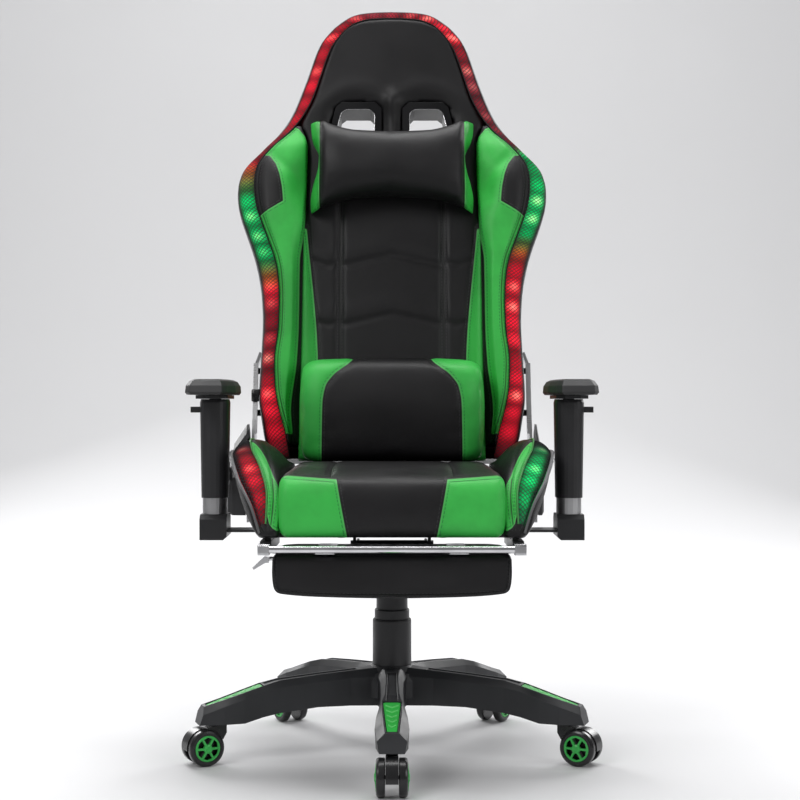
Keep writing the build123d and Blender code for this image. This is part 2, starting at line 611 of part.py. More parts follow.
def oval_tube(rings):
    """A loft up Z through rounded oblongs of (height, half width, half length)."""
    sections = []
    for z, wide, long in rings:
        ring = []
        for n in range(OVAL_SIDES):
            angle = 2 * pi * (n + 0.5) / OVAL_SIDES
            x = copysign(wide * abs(cos(angle)) ** OVAL_POWER, cos(angle))
            y = copysign(long * abs(sin(angle)) ** OVAL_POWER, sin(angle))
            ring.append((ARMREST_X + x, ARMREST_Y + y, z))
        sections.append(ring)
    return lofted(sections)


bracket = block((150, 318), (ARMREST_Y - 30, ARMREST_Y + 30), (PLATE_BOTTOM, PLATE_TOP))
foot = prism("X", [(-36, 369), (-36, 404), (-28, POST_FOOT), (28, POST_FOOT), (36, 404), (36, 369)], -23, 23)
foot -= prism("Y", [(-30, 360), (-30, 382), (-17, 369), (-17, 360)], -40, 40)
foot = Pos(ARMREST_X, ARMREST_Y, 0) * foot
save("armrest_brackets", *both_sides(bracket))
save("armrest_feet", *both_sides(foot - bracket))
post = oval_tube([(POST_FOOT, *POST_SIZE), (POST_TOP, *POST_SIZE)])
post -= oval_tube([(POST_FOOT + 3, *POST_BORE), (POST_TOP + 1, *POST_BORE)])
save("armrest_posts", *both_sides(post))

sleeve = oval_tube([(SLEEVE_BOTTOM, 23, 31), (SLEEVE_TOP - 6, 25.5, 34), (SLEEVE_TOP, 24, 32.5)])
sleeve -= oval_tube([(SLEEVE_BOTTOM - 1, *SLEEVE_BORE), (600, *SLEEVE_BORE)])
sleeve -= rod(10 + RUNNING_GAP, (ARMREST_X, ARMREST_Y, 599), (ARMREST_X, ARMREST_Y, 609))
sleeve -= block((ARMREST_X + 10, ARMREST_X + 30), (ARMREST_Y - 12.4, ARMREST_Y + 12.4),
                (BUTTON_Z - 5.4, BUTTON_Z + 5.4))
button = block((ARMREST_X + 22, ARMREST_X + 41), (ARMREST_Y - 12, ARMREST_Y + 12),
               (BUTTON_Z - 5, BUTTON_Z + 5))
carrier = rounded_block((ARMREST_X - 27, ARMREST_X + 27), (ARMREST_Y - 70, ARMREST_Y + 70),
                        (608.5, 614.5), 14)
carrier += rod(10, (ARMREST_X, ARMREST_Y, 600.5), (ARMREST_X, ARMREST_Y, 609))
for half, low, high in PAD_RAIL:
    carrier += block((ARMREST_X - half, ARMREST_X + half), (ARMREST_Y - 50, ARMREST_Y + 50), (low, high))

rings = []
for z, inset, setback in PAD_RINGS:
    ring = []
    for x, y in PAD_OUTLINE:
        shorter = setback if y < 0 else inset
        ring.append((ARMREST_X + x * (1 - inset / 39), ARMREST_Y + y * (1 - shorter / 125), z))
    rings.append(ring)
pad = lofted(rings)
for half, low, high in PAD_RAIL:
    pad -= block((ARMREST_X - half - 0.4, ARMREST_X + half + 0.4), (ARMREST_Y - 84, ARMREST_Y + 84),
                 (low - 0.4, high + 0.4))
for name, solid in (("armrest_sleeve", sleeve), ("armrest_button", button), ("pad_carrier", carrier),
                    ("armrest_pad", pad)):
    right, left = both_sides(solid)
    save(f"{name}_right", right)
    save(f"{name}_left", left)

# --- footrest ---

guide = block((RAIL_X - 9, RAIL_X + 9), (-238, -40), (363.5, PLATE_BOTTOM))
for low, high in ((-225, -195), (-100, -70)):
    guide += block((192, FRAME_HALF), (low, high), (381, PLATE_TOP))
guide -= rod(BAR_RADIUS + 0.35, (RAIL_X, -260, BAR_Z), (RAIL_X, 0, BAR_Z))
save("footrest_guides", *both_sides(guide))
end = prism("X", [(-285, 367), (-282, 364), (-267, 364), (-267, 381), (-282, 381), (-285, 378)],
            RAIL_X - 9, RAIL_X + 9)
end += rod(BAR_RADIUS, (RAIL_X, -268, BAR_Z), (RAIL_X, RAIL_END, BAR_Z))
end -= rod(BAR_RADIUS + RUNNING_GAP, (190, BAR_Y, BAR_Z), (206, BAR_Y, BAR_Z))
save("footrest_frame", *both_sides(end))
bar = rod(BAR_RADIUS, (-205.5, BAR_Y, BAR_Z), (205.5, BAR_Y, BAR_Z))
for low in (-120, 90):
    bar += block((low, low + 30), (BAR_Y, -110), (365, 368))
save("footrest_bar", bar)
save("footrest_pad", prism("X", PAD_SIDE, -190, 190))
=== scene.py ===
import math

import bmesh
import bpy
from mathutils import Matrix, Vector, noise


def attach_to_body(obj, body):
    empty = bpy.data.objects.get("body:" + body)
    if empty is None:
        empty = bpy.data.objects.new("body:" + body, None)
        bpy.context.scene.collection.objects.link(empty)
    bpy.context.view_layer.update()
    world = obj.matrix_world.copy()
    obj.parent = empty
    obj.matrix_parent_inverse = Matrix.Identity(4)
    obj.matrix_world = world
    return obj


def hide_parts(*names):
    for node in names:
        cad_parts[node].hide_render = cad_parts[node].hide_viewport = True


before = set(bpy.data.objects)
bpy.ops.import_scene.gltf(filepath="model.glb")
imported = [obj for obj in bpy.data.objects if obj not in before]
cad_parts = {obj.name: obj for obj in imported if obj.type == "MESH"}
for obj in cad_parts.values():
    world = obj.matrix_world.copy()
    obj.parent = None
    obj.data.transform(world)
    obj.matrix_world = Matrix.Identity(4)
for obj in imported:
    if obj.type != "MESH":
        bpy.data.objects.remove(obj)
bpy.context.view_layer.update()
scene = bpy.context.scene
print("frame loaded:", len(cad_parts), "nodes")


# node helpers: a value is either a plain one or another node's output

def feed(tree, value, socket):
    if isinstance(value, bpy.types.NodeSocket):
        tree.links.new(value, socket)
    else:
        socket.default_value = value


def addNode(tree, kind, sockets=None, **settings):
    node = tree.nodes.new("ShaderNode" + kind)
    for key, value in settings.items():
        setattr(node, key, value)
    for key, value in (sockets or {}).items():
        feed(tree, value, node.inputs[key])
    return node


def maths(tree, operation, first, second=None, third=None, clamp=False):
    given = {i: v for i, v in enumerate((first, second, third)) if v is not None}
    return addNode(tree, "Math", given, operation=operation, use_clamp=clamp).outputs[0]


def times(tree, first, second, clamp=False):
    return maths(tree, "MULTIPLY", first, second, clamp=clamp)


def mixColour(tree, factor, first, second, blend="MIX"):
    sockets = {0: factor, 6: first, 7: second}
    return addNode(tree, "Mix", sockets, data_type="RGBA", blend_type=blend).outputs[2]


def rangeOf(tree, value, low, high, toLow=0.0, toHigh=1.0, smooth=True):
    sockets = {0: value, 1: low, 2: high, 3: toLow, 4: toHigh}
    kind = "SMOOTHSTEP" if smooth else "LINEAR"
    return addNode(tree, "MapRange", sockets, interpolation_type=kind).outputs[0]


def noiseOf(tree, place, scale, detail, rough=0.5):
    sockets = {"Vector": place, "Scale": scale, "Detail": detail, "Roughness": rough}
    return addNode(tree, "TexNoise", sockets).outputs["Fac"]


def startGroup(name, inputs, outputs):
    # inputs are numbers with their defaults; an output called Normal is a vector
    group = bpy.data.node_groups.new(name, "ShaderNodeTree")
    for label, value in inputs.items():
        socket = group.interface.new_socket(name=label, in_out="INPUT", socket_type="NodeSocketFloat")
        socket.default_value = value
    for label in outputs:
        kind = "NodeSocketVector" if label == "Normal" else "NodeSocketFloat"
        group.interface.new_socket(name=label, in_out="OUTPUT", socket_type=kind)
    start = group.nodes.new("NodeGroupInput")
    end = group.nodes.new("NodeGroupOutput")
    return group, start.outputs, end.inputs


def closeGroup(group, out, **values):
    for label, value in values.items():
        group.links.new(value, out[label])
    return group


def useGroup(tree, group, **sockets):
    node = tree.nodes.new("ShaderNodeGroup")
    node.node_tree = group
    for key, value in sockets.items():
        feed(tree, value, node.inputs[key[0].upper() + key[1:]])
    return node.outputs


def objectSpace(tree, scale=(1, 1, 1)):
    place = addNode(tree, "TexCoord").outputs["Object"]
    return addNode(tree, "Mapping", {"Vector": place, "Scale": scale}).outputs[0]


def attribute(tree, name):
    return addNode(tree, "Attribute", attribute_name=name).outputs["Fac"]


# effects that several materials share

def makeGrainGroup():
    # pebbled leather: cell walls, finer cells between them, slow tone change
    group, given, out = startGroup("leatherGrain", {"Size": 0.0016}, ("Height", "Tone", "Gloss"))
    place = objectSpace(group)
    density = maths(group, "DIVIDE", 1.0, given["Size"])
    warp = addNode(group, "TexNoise", {"Vector": place, "Scale": 300.0, "Detail": 2.0}).outputs["Color"]
    shift = {0: warp, 1: (0.0012, 0.0012, 0.0012)}
    bent = addNode(group, "VectorMath", shift, operation="MULTIPLY").outputs[0]
    moved = addNode(group, "VectorMath", {0: place, 1: bent}, operation="ADD").outputs[0]
    cells = addNode(group, "TexVoronoi", {"Vector": moved, "Scale": density}, feature="DISTANCE_TO_EDGE")
    walls = rangeOf(group, cells.outputs["Distance"], 0.0, 0.22)
    slow = noiseOf(group, place, 9.0, 4.0, 0.6)
    gloss = maths(group, "MULTIPLY_ADD", walls, -0.07, rangeOf(group, slow, 0.3, 0.7, -0.03, 0.07))
    return closeGroup(
        group, out, Height=maths(group, "MULTIPLY_ADD", noiseOf(group, place, 2600.0, 3.0), 0.25, walls),
        Tone=rangeOf(group, slow, 0.3, 0.7, 0.82, 1.12), Gloss=gloss)


def makeStitchGroup():
    # two rows of thread beside a seam, from the distance to it and the place along it
    group, given, out = startGroup(
        "seamStitch", {"Distance": 1.0, "Along": 0.0, "Offset": 0.0042, "Pitch": 0.0062},
        ("Thread", "Height", "Crease"))
    side = maths(group, "ABSOLUTE", maths(group, "SUBTRACT", given["Distance"], given["Offset"]))
    row = rangeOf(group, side, 0.0003, 0.0008, 1.0, 0.0)
    step = maths(group, "FRACT", maths(group, "DIVIDE", given["Along"], given["Pitch"]))
    middle = maths(group, "ABSOLUTE", maths(group, "SUBTRACT", step, 0.5))
    thread = times(group, row, rangeOf(group, middle, 0.3, 0.38, 1.0, 0.0))
    pucker = rangeOf(group, side, 0.0, 0.003, -0.6, 0.0)
    # the crease mask dips the bump, and materials also mix it into the colour as painted shade
    crease = rangeOf(group, given["Distance"], 0.0, 0.0022, 1.0, 0.0)
    raised = maths(group, "MULTIPLY_ADD", thread, 1.3, pucker)
    height = maths(group, "MULTIPLY_ADD", crease, -1.6, raised)
    return closeGroup(group, out, Thread=thread, Height=height, Crease=crease)


def makeEdgeGroup():
    # rounded edge normals, and a mask of where the edges are
    group, given, out = startGroup("edgeRound", {"Radius": 0.001}, ("Normal", "Edge"))
    bevel = addNode(group, "Bevel", {"Radius": given["Radius"]}, samples=6).outputs[0]
    flat = addNode(group, "NewGeometry").outputs["Normal"]
    agree = addNode(group, "VectorMath", {0: bevel, 1: flat}, operation="DOT_PRODUCT").outputs["Value"]
    return closeGroup(group, out, Normal=bevel, Edge=rangeOf(group, agree, 0.90, 0.995, 1.0, 0.0))


def makeWearAndHighlightGroup():
    # dust and handling marks, and on the green inserts a painted edge highlight: a broken mask, stronger on
    # edges, and a slow tone change
    group, given, out = startGroup("handlingWearAndHighlight", {"Edge": 0.0, "Amount": 0.3}, ("Mask", "Tone", "Gloss"))
    place = objectSpace(group)
    broken = rangeOf(group, noiseOf(group, place, 140.0, 5.0, 0.7), 0.42, 0.66)
    slow = noiseOf(group, place, 14.0, 3.0)
    return closeGroup(
        group, out, Mask=times(group, times(group, broken, given["Edge"]), given["Amount"], clamp=True),
        Tone=rangeOf(group, slow, 0.3, 0.7, 0.9, 1.1), Gloss=rangeOf(group, slow, 0.3, 0.7, -0.05, 0.06))


def makeMouldGroup():
    # fine spark-eroded texture of moulded plastic
    group, given, out = startGroup("mouldTexture", {"Size": 0.0007}, ("Height",))
    place = objectSpace(group)
    cells = {"Vector": place, "Scale": maths(group, "DIVIDE", 1.0, given["Size"])}
    bumps = addNode(group, "TexVoronoi", cells, feature="SMOOTH_F1").outputs["Distance"]
    fine = noiseOf(group, place, 1800.0, 2.0)
    return closeGroup(group, out, Height=maths(group, "MULTIPLY_ADD", fine, 0.5, bumps))


def makeMeshGroup():
    # open diagonal mesh cloth: 1 over a hole, 0 on a thread
    group, given, out = startGroup(
        "meshWeave", {"Across": 0.0, "Along": 0.0, "Pitch": 0.0054}, ("Hole", "Height"))
    across, along = (maths(group, "DIVIDE", given[label], given["Pitch"]) for label in ("Across", "Along"))
    waves = []
    for way in ("ADD", "SUBTRACT"):
        turn = times(group, maths(group, way, across, along), math.pi)
        waves.append(maths(group, "ABSOLUTE", maths(group, "SINE", turn)))
    both = maths(group, "MINIMUM", waves[0], times(group, waves[1], 1.5))
    return closeGroup(
        group, out, Hole=rangeOf(group, both, 0.34, 0.6), Height=rangeOf(group, both, 0.0, 0.6, 1.0, 0.0))


def makeGlowGroup():
    # the row of lamps behind the cloth: soft spots of uneven power over a glow that comes and goes
    group, given, out = startGroup(
        "lampGlow",
        {"Along": 0.0, "Side": 0.0, "Width": 0.04, "Centre": 0.36, "Pitch": 0.034, "Reach": 0.0125,
         "Even": 0.12},
        ("Glow", "Core"))
    count = maths(group, "DIVIDE", given["Along"], given["Pitch"])
    lamp = maths(group, "FLOOR", count)
    which = addNode(group, "TexWhiteNoise", {"W": lamp}, noise_dimensions="1D").outputs[0]
    spotPlace = rangeOf(group, which, 0.0, 1.0, 0.36, 0.64, smooth=False)
    step = maths(group, "SUBTRACT", maths(group, "FRACT", count), spotPlace)
    behind = times(group, step, given["Pitch"])
    aside = maths(group, "SUBTRACT", given["Side"], given["Centre"])
    beside = times(group, aside, given["Width"])
    squared = maths(group, "ADD", maths(group, "POWER", behind, 2.0), maths(group, "POWER", beside, 2.0))
    far = maths(group, "DIVIDE", squared, maths(group, "POWER", given["Reach"], 2.0))
    spot = maths(group, "POWER", 0.37, far)
    share = maths(group, "FRACT", times(group, which, 7.3))
    power = rangeOf(group, share, 0.0, 1.0, 0.22, 1.0, smooth=False)
    slow = {"W": given["Along"], "Scale": 14.0, "Detail": 1.0}
    drift = addNode(group, "TexNoise", slow, noise_dimensions="1D").outputs["Fac"]
    even = times(group, rangeOf(group, drift, 0.35, 0.65, 0.55, 1.4), given["Even"])
    band = rangeOf(group, maths(group, "ABSOLUTE", aside), 0.1, 0.52, 1.0, 0.0)
    lit = maths(group, "MULTIPLY_ADD", band, even, times(group, spot, power))
    outer = rangeOf(group, given["Side"], 0.55, 0.86, 1.0, 0.12)
    core = times(group, maths(group, "POWER", spot, 3.0), rangeOf(group, power, 0.72, 1.0))
    return closeGroup(group, out, Glow=times(group, lit, outer), Core=core)


grainGroup = makeGrainGroup()
stitchGroup = makeStitchGroup()
edgeGroup = makeEdgeGroup()
wearAndHighlightGroup = makeWearAndHighlightGroup()
mouldGroup = makeMouldGroup()
meshGroup = makeMeshGroup()
glowGroup = makeGlowGroup()
print("effect groups made")


# materials

finish = {
    "black": (0.0075, 0.007, 0.008), "green": (0.045, 0.5, 0.075),
    "thread": (0.03, 0.03, 0.032), "greenThread": (0.02, 0.2, 0.045),
    # piping: a pale grey that paints the highlight along the backrest's black outer welt
    "piping": (0.6, 0.6, 0.62), "greenPiping": (0.14, 0.6, 0.16),
    # band: a pale grey that paints the highlight on the seat wings' black outer side
    "band": (0.42, 0.42, 0.44), "welt": (0.045, 0.045, 0.048),
    "leather": {"Specular IOR Level": 0.3, "Coat Roughness": 0.35, "Coat Weight": 0.04},
    "roughness": 0.42, "grain": 0.0015,
}


def startMaterial(name, colour, **shader):
    material = bpy.data.materials.new(name)
    material.use_nodes = True
    tree = material.node_tree
    principled = tree.nodes["Principled BSDF"]
    principled.inputs["Base Color"].default_value = (*colour, 1)
    for label, value in shader.items():
        principled.inputs[label].default_value = value
    return material, tree, principled


def bumpInto(tree, principled, height, distance, strength=1.0, normal=None):
    sockets = {"Height": height, "Distance": distance, "Strength": strength}
    if normal is not None:
        sockets["Normal"] = normal
    bump = addNode(tree, "Bump", sockets)
    tree.links.new(bump.outputs[0], principled.inputs["Normal"])


def surface(tree, principled, colour, gloss, roughness):
    tree.links.new(colour, principled.inputs["Base Color"])
    tree.links.new(maths(tree, "ADD", gloss, roughness), principled.inputs["Roughness"])


def stitchedSurface(tree, principled, colour, leather, stitch, roughness):
    surface(tree, principled, colour, leather["Gloss"], roughness)
    height = maths(tree, "MULTIPLY_ADD", stitch["Height"], 3.0, leather["Height"])
    bumpInto(tree, principled, height, 0.00012, 0.75)


def leatherMaterial(name, colour, thread, roughness=finish["roughness"], fade=None):
    # fade is (low, high): the heights between which a band goes from painted shade at the bottom to its full
    # colour
    material, tree, principled = startMaterial(name, colour, **finish["leather"])
    leather = useGroup(tree, grainGroup, size=finish["grain"])
    stitch = useGroup(tree, stitchGroup, distance=attribute(tree, "seam"), along=attribute(tree, "along"))
    toned = mixColour(tree, 1.0, (*colour, 1), leather["Tone"], "MULTIPLY")
    if fade:
        # painted shade: the colour is multiplied darker towards the bottom, standing for light falling off
        # lower down
        height = addNode(tree, "SeparateXYZ", {0: objectSpace(tree)}).outputs["Z"]
        toned = mixColour(tree, 1.0, toned, rangeOf(tree, height, *fade, 0.22, 1.0), "MULTIPLY")
    # painted shade: the leather darkens to a quarter of its colour in each seam's crease
    creaseShade = tuple(c * 0.25 for c in colour)
    creaseShaded = mixColour(tree, times(tree, stitch["Crease"], 0.75), toned, (*creaseShade, 1))
    sewn = mixColour(tree, stitch["Thread"], creaseShaded, (*thread, 1))
    stitchedSurface(tree, principled, sewn, leather, stitch, roughness)
    return material


def upholsteryMaterial(name):
    # black leather with green panels: "panel" is the distance inside a green one, "seam" to any other seam
    material, tree, principled = startMaterial(name, finish["black"], **finish["leather"])
    panel, seam = attribute(tree, "panel"), attribute(tree, "seam")
    leather = useGroup(tree, grainGroup, size=finish["grain"])
    gap = maths(tree, "MINIMUM", maths(tree, "ABSOLUTE", panel), maths(tree, "ABSOLUTE", seam))
    stitch = useGroup(tree, stitchGroup, distance=gap, along=attribute(tree, "along"))
    green = rangeOf(tree, panel, -0.0003, 0.0003)
    colour = mixColour(tree, green, (*finish["black"], 1), (*finish["green"], 1))
    thread = mixColour(tree, green, (*finish["thread"], 1), (*finish["greenThread"], 1))
    toned = mixColour(tree, 1.0, colour, leather["Tone"], "MULTIPLY")
    # painted shade: near black mixed into each seam's crease
    creaseShaded = mixColour(tree, times(tree, stitch["Crease"], 0.8), toned, (0.004, 0.006, 0.004, 1))
    # painted highlight: a lighter green lip just inside each green panel's edge, in the green piping colour
    lip = times(tree, green, rangeOf(tree, panel, 0.0014, 0.0022, 0.6, 0.0))
    edgeHighlighted = mixColour(tree, lip, creaseShaded, (*finish["greenPiping"], 1))
    sewn = mixColour(tree, stitch["Thread"], edgeHighlighted, thread)
    stitchedSurface(tree, principled, sewn, leather, stitch, finish["roughness"])
    return material


def mouldedMaterial(name, colour, roughness, texture=0.0008, depth=0.00004, radius=0.0009, wearAndHighlightAmount=0.25,
                    wornAndLitColour=None, sheen=0.5):
    material, tree, principled = startMaterial(name, colour, **{"Specular IOR Level": sheen})
    edge = useGroup(tree, edgeGroup, radius=radius)
    # the lighter colour goes into a broken mask on edges: handling marks, and where the amount is large, as
    # on the green inserts, a painted edge highlight
    wearAndHighlight = useGroup(tree, wearAndHighlightGroup, edge=edge["Edge"], amount=wearAndHighlightAmount)
    skin = useGroup(tree, mouldGroup, size=texture)
    lighter = wornAndLitColour or tuple(min(1.0, c * 2.2 + 0.02) for c in colour)
    toned = mixColour(tree, 1.0, (*colour, 1), wearAndHighlight["Tone"], "MULTIPLY")
    rubbedAndLit = mixColour(tree, wearAndHighlight["Mask"], toned, (*lighter, 1))
    surface(tree, principled, rubbedAndLit, wearAndHighlight["Gloss"], roughness)
    bumpInto(tree, principled, skin["Height"], depth, 0.6, edge["Normal"])
    return material


def metalMaterial(name, colour, roughness, brushed):
    # brushed is how strong the fine drawn lines are
    material, tree, principled = startMaterial(name, colour, Metallic=1.0)
    edge = useGroup(tree, edgeGroup, radius=0.0008)
    wearAndHighlight = useGroup(tree, wearAndHighlightGroup, edge=edge["Edge"], amount=0.5)
    lines = noiseOf(tree, objectSpace(tree, (40, 40, 900)), 1.0, 4.0)
    toned = mixColour(tree, 1.0, (*colour, 1), wearAndHighlight["Tone"], "MULTIPLY")
    tree.links.new(toned, principled.inputs["Base Color"])
    rough = maths(tree, "MULTIPLY_ADD", lines, brushed, maths(tree, "ADD", wearAndHighlight["Gloss"], roughness))
    tree.links.new(rough, principled.inputs["Roughness"])
    bumpInto(tree, principled, lines, 0.00003, brushed * 2 + 0.02, edge["Normal"])
    return material


lamps = {
    "tones": {"unlit": (0, 0, 0), "faint": (0.16, 0.008, 0.015), "low": (0.42, 0.005, 0.02),
              "dim": (0.3, 0.025, 0.04), "red": (0.85, 0.008, 0.03), "amber": (0.42, 0.13, 0.02),
              "green": (0.002, 0.56, 0.13), "paleGreen": (0.01, 0.12, 0.04)},
    # up the left side, over the top and down the right side, as (share of the strip's length, tone)
    "back": [(0.0, "unlit"), (0.012, "faint"), (0.028, "red"), (0.066, "red"), (0.085, "low"), (0.14, "low"),
             (0.158, "red"), (0.172, "amber"), (0.186, "green"), (0.252, "green"), (0.272, "amber"),
             (0.286, "red"), (0.305, "dim"), (0.345, "red"), (0.45, "red"), (0.48, "dim"), (0.57, "red"),
             (0.61, "dim"), (0.692, "faint"), (0.706, "green"), (0.790, "green"), (0.804, "amber"),
             (0.818, "red"), (0.974, "red"), (0.989, "faint"), (1.0, "unlit")],
    "backLength": 2.004, "seatLength": 0.235,
    "core": (0.3, 0.2, 0.14, 1), "thread": (0.03, 0.03, 0.032, 1), "hole": (0.004, 0.004, 0.005, 1),
}


def seatRamp(pale, full):
    return [(0.0, "unlit"), (0.1, pale), (0.25, full), (0.64, full), (0.8, pale), (0.92, "unlit")]


def lightMeshMaterial(name, ramp, strength, length, pitch=0.0068, centre=0.32, even=0.3):
    # black open cloth with coloured lamps behind it; the colour changes along the strip
    dull = {"Roughness": 0.85, "Specular IOR Level": 0.05, "Emission Strength": strength}
    material, tree, principled = startMaterial(name, (0.02, 0.02, 0.022), **dull)
    along, across, width = (attribute(tree, label) for label in ("along", "across", "acrossSize"))
    weave = useGroup(tree, meshGroup, across=times(tree, across, width), along=along, pitch=pitch)
    glow = useGroup(tree, glowGroup, along=along, side=across, width=width, centre=centre, even=even)
    band = addNode(tree, "ValToRGB", {0: maths(tree, "DIVIDE", along, length)})
    # the ramp's alpha is how strongly a lamp's core shows there
    tones = [(position, lamps["tones"][tone]) for position, tone in ramp]
    stops = [(position, (*colour, min(1.0, 2 * max(colour)))) for position, colour in tones]
    elements = band.color_ramp.elements
    elements[0].position, elements[0].color = stops[0]
    elements[1].position, elements[1].color = stops[-1]
    for position, colour in stops[1:-1]:
        elements.new(position).color = colour
    through = maths(tree, "MULTIPLY_ADD", weave["Hole"], 0.82, 0.18)
    core = times(tree, glow["Core"], band.outputs["Alpha"])
    hot = mixColour(tree, core, band.outputs["Color"], lamps["core"], "ADD")
    light = times(tree, glow["Glow"], through)
    tree.links.new(mixColour(tree, 1.0, hot, light, "MULTIPLY"), principled.inputs["Emission Color"])
    cloth = mixColour(tree, weave["Hole"], lamps["thread"], lamps["hole"])
    tree.links.new(cloth, principled.inputs["Base Color"])
    bumpInto(tree, principled, weave["Height"], 0.0004, 0.8)
    return material


blackLeather = leatherMaterial("blackLeather", finish["black"], finish["thread"])
upholstery = upholsteryMaterial("upholstery")
backLightMesh = lightMeshMaterial("backLightMesh", lamps["back"], 1.45, lamps["backLength"])
seatLampsLeft, seatLampsRight = (
    lightMeshMaterial(name, seatRamp(*tones), strength, lamps["seatLength"], 0.0078, centre, 0.28)
    for name, tones, strength, centre in (("seatLampsLeft", ("faint", "red"), 1.35, 0.42),
                                          ("seatLampsRight", ("paleGreen", "green"), 1.9, 0.45)))
greenPiping = leatherMaterial("greenPiping", finish["greenPiping"], finish["greenThread"], 0.4)
# painted highlight: a pale grey band standing for light on the wings' black outer side, with painted shade
# lower down
highlightBandLeather = leatherMaterial("highlightBandLeather", finish["band"], finish["thread"], 0.38, fade=(0.42, 0.5))
weltLeather = leatherMaterial("weltLeather", finish["welt"], finish["thread"], 0.38)
# painted highlight: the outer welt's pale grey stands for light along its edge
highlightPipingLeather = leatherMaterial("highlightPipingLeather", finish["piping"], finish["thread"], 0.38)
blackPlastic = mouldedMaterial("blackPlastic", (0.018, 0.018, 0.02), 0.42)
padFoam = mouldedMaterial("padFoam", (0.02, 0.02, 0.021), 0.55, texture=0.0011, depth=0.00006, radius=0.003,
                          wearAndHighlightAmount=0.08)
nylon = mouldedMaterial("baseNylon", (0.024, 0.025, 0.028), 0.46, texture=0.0006, radius=0.0016)
glossBlack = mouldedMaterial("wheelBlack", (0.011, 0.011, 0.012), 0.24, depth=0.00001, radius=0.0007,
                             wearAndHighlightAmount=0.12)
bezelBlack = mouldedMaterial("bezelBlack", (0.008, 0.008, 0.009), 0.36, depth=0.00001, radius=0.0012,
                             wearAndHighlightAmount=0.1, sheen=0.2)
greenPlastic = mouldedMaterial("greenPlastic", (0.04, 0.45, 0.08), 0.34, depth=0.00002, radius=0.0006,
                               wearAndHighlightAmount=0.2, wornAndLitColour=(0.12, 0.6, 0.18))
# painted highlight: the inserts' strong pale green edge mask stands for light on their rounded edges
insertPlastic = mouldedMaterial("insertPlastic", (0.05, 0.6, 0.09), 0.34, depth=0.00002, radius=0.001,
                                wearAndHighlightAmount=1.0, wornAndLitColour=(0.2, 0.75, 0.24))
# painted highlight: the chevrons are a lighter copy of the insert green, with a strong pale edge mask
highlightChevronPlastic = mouldedMaterial("highlightChevronPlastic", (0.16, 0.78, 0.2), 0.3, depth=0.00001, radius=0.0006,
                                 wearAndHighlightAmount=1.5, wornAndLitColour=(0.3, 0.85, 0.34))
paintedSteel = mouldedMaterial("paintedSteel", (0.016, 0.016, 0.017), 0.38, texture=0.0004, wearAndHighlightAmount=0.3)
postSteel = metalMaterial("postSteel", (0.5, 0.5, 0.51), 0.24, 0.16)
chrome = metalMaterial("chrome", (0.78, 0.78, 0.8), 0.1, 0.03)
edgeSteel = metalMaterial("edgeSteel", (0.55, 0.55, 0.56), 0.26, 0.12)
print("materials made")

nodeFinish = [
    (nylon, ["base_star"]), (insertPlastic, ["arm_inserts"]), (bezelBlack, ["slot_bezels"]),
    (postSteel, ["caster_stems", "lift_rod", "armrest_posts", "seat_bolts"]),
    (paintedSteel, ["gas_cylinder", "gas_piston", "tilt_housing", "seat_plate", "seat_frame",
                    "armrest_brackets", "footrest_guides", "backrest_frame"]),
    (blackPlastic, ["lift_cover_lower", "lift_cover_middle", "lift_cover_upper", "tension_knob",
                    "recliner_covers", "armrest_feet", "recline_lever"]),
    (chrome, ["height_lever", "footrest_frame", "footrest_bar"]),
    (edgeSteel, ["recliner_lower_brackets", "recliner_upper_arms"]),
    (greenPlastic, [f"caster_{number}_caps" for number in range(1, 6)]),
    (glossBlack, [f"caster_{number}_{part}" for number in range(1, 6) for part in ("yoke", "wheels")]),
]
for side in ("left", "right"):
    nodeFinish.append((padFoam, [f"armrest_pad_{side}"]))
    parts = ("armrest_sleeve", "armrest_button", "pad_carrier")
    nodeFinish.append((blackPlastic, [f"{part}_{side}" for part in parts]))
for material, nodes in nodeFinish:
    for name in nodes:
        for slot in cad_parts[name].material_slots:
            slot.material = material
print("frame dressed")


# shape helpers; tables are in millimetres

def eased(rows, key):
    # a smooth run through rows of (key, value, ...), level beyond the ends
    if key <= rows[0][0]:
        return rows[0][1:]
    if key >= rows[-1][0]:
        return rows[-1][1:]
    i = max(n for n, row in enumerate(rows[:-1]) if row[0] <= key)
    gap = rows[i + 1][0] - rows[i][0]
    t = (key - rows[i][0]) / gap
    values = []
    for column in range(1, len(rows[0])):
        steps = []
        for j in (i - 1, i, i + 1):
            if 0 <= j < len(rows) - 1:
                steps.append((rows[j + 1][column] - rows[j][column]) / (rows[j + 1][0] - rows[j][0]))
            else:
                steps.append(None)
        before, step, after = steps
        slopes = []
        for other in (before, after):
            if other is None:
                slopes.append(step)
            elif other * step <= 0:
                slopes.append(0.0)
            else:
                slopes.append(2 * other * step / (other + step))
        a, b = rows[i][column], rows[i + 1][column]
        values.append((2 * t**3 - 3 * t**2 + 1) * a + (t**3 - 2 * t**2 + t) * gap * slopes[0]
                      + (3 * t**2 - 2 * t**3) * b + (t**3 - t**2) * gap * slopes[1])
    return tuple(values)


def easedOne(rows, key):
    return eased(rows, key)[0]


def evenly(line, count, steps):
    # points at equal shares of a line's length
    lengths = [0.0]
    for a, b in zip(line, line[1:]):
        lengths.append(lengths[-1] + (b - a).length)
    out, at = [], 0
    for n in range(count):
        want = lengths[-1] * n / steps
        while at < len(line) - 2 and lengths[at + 1] < want:
            at += 1
        gap = lengths[at + 1] - lengths[at] or 1.0
        out.append(line[at].lerp(line[at + 1], min(1.0, (want - lengths[at]) / gap)))
    return out


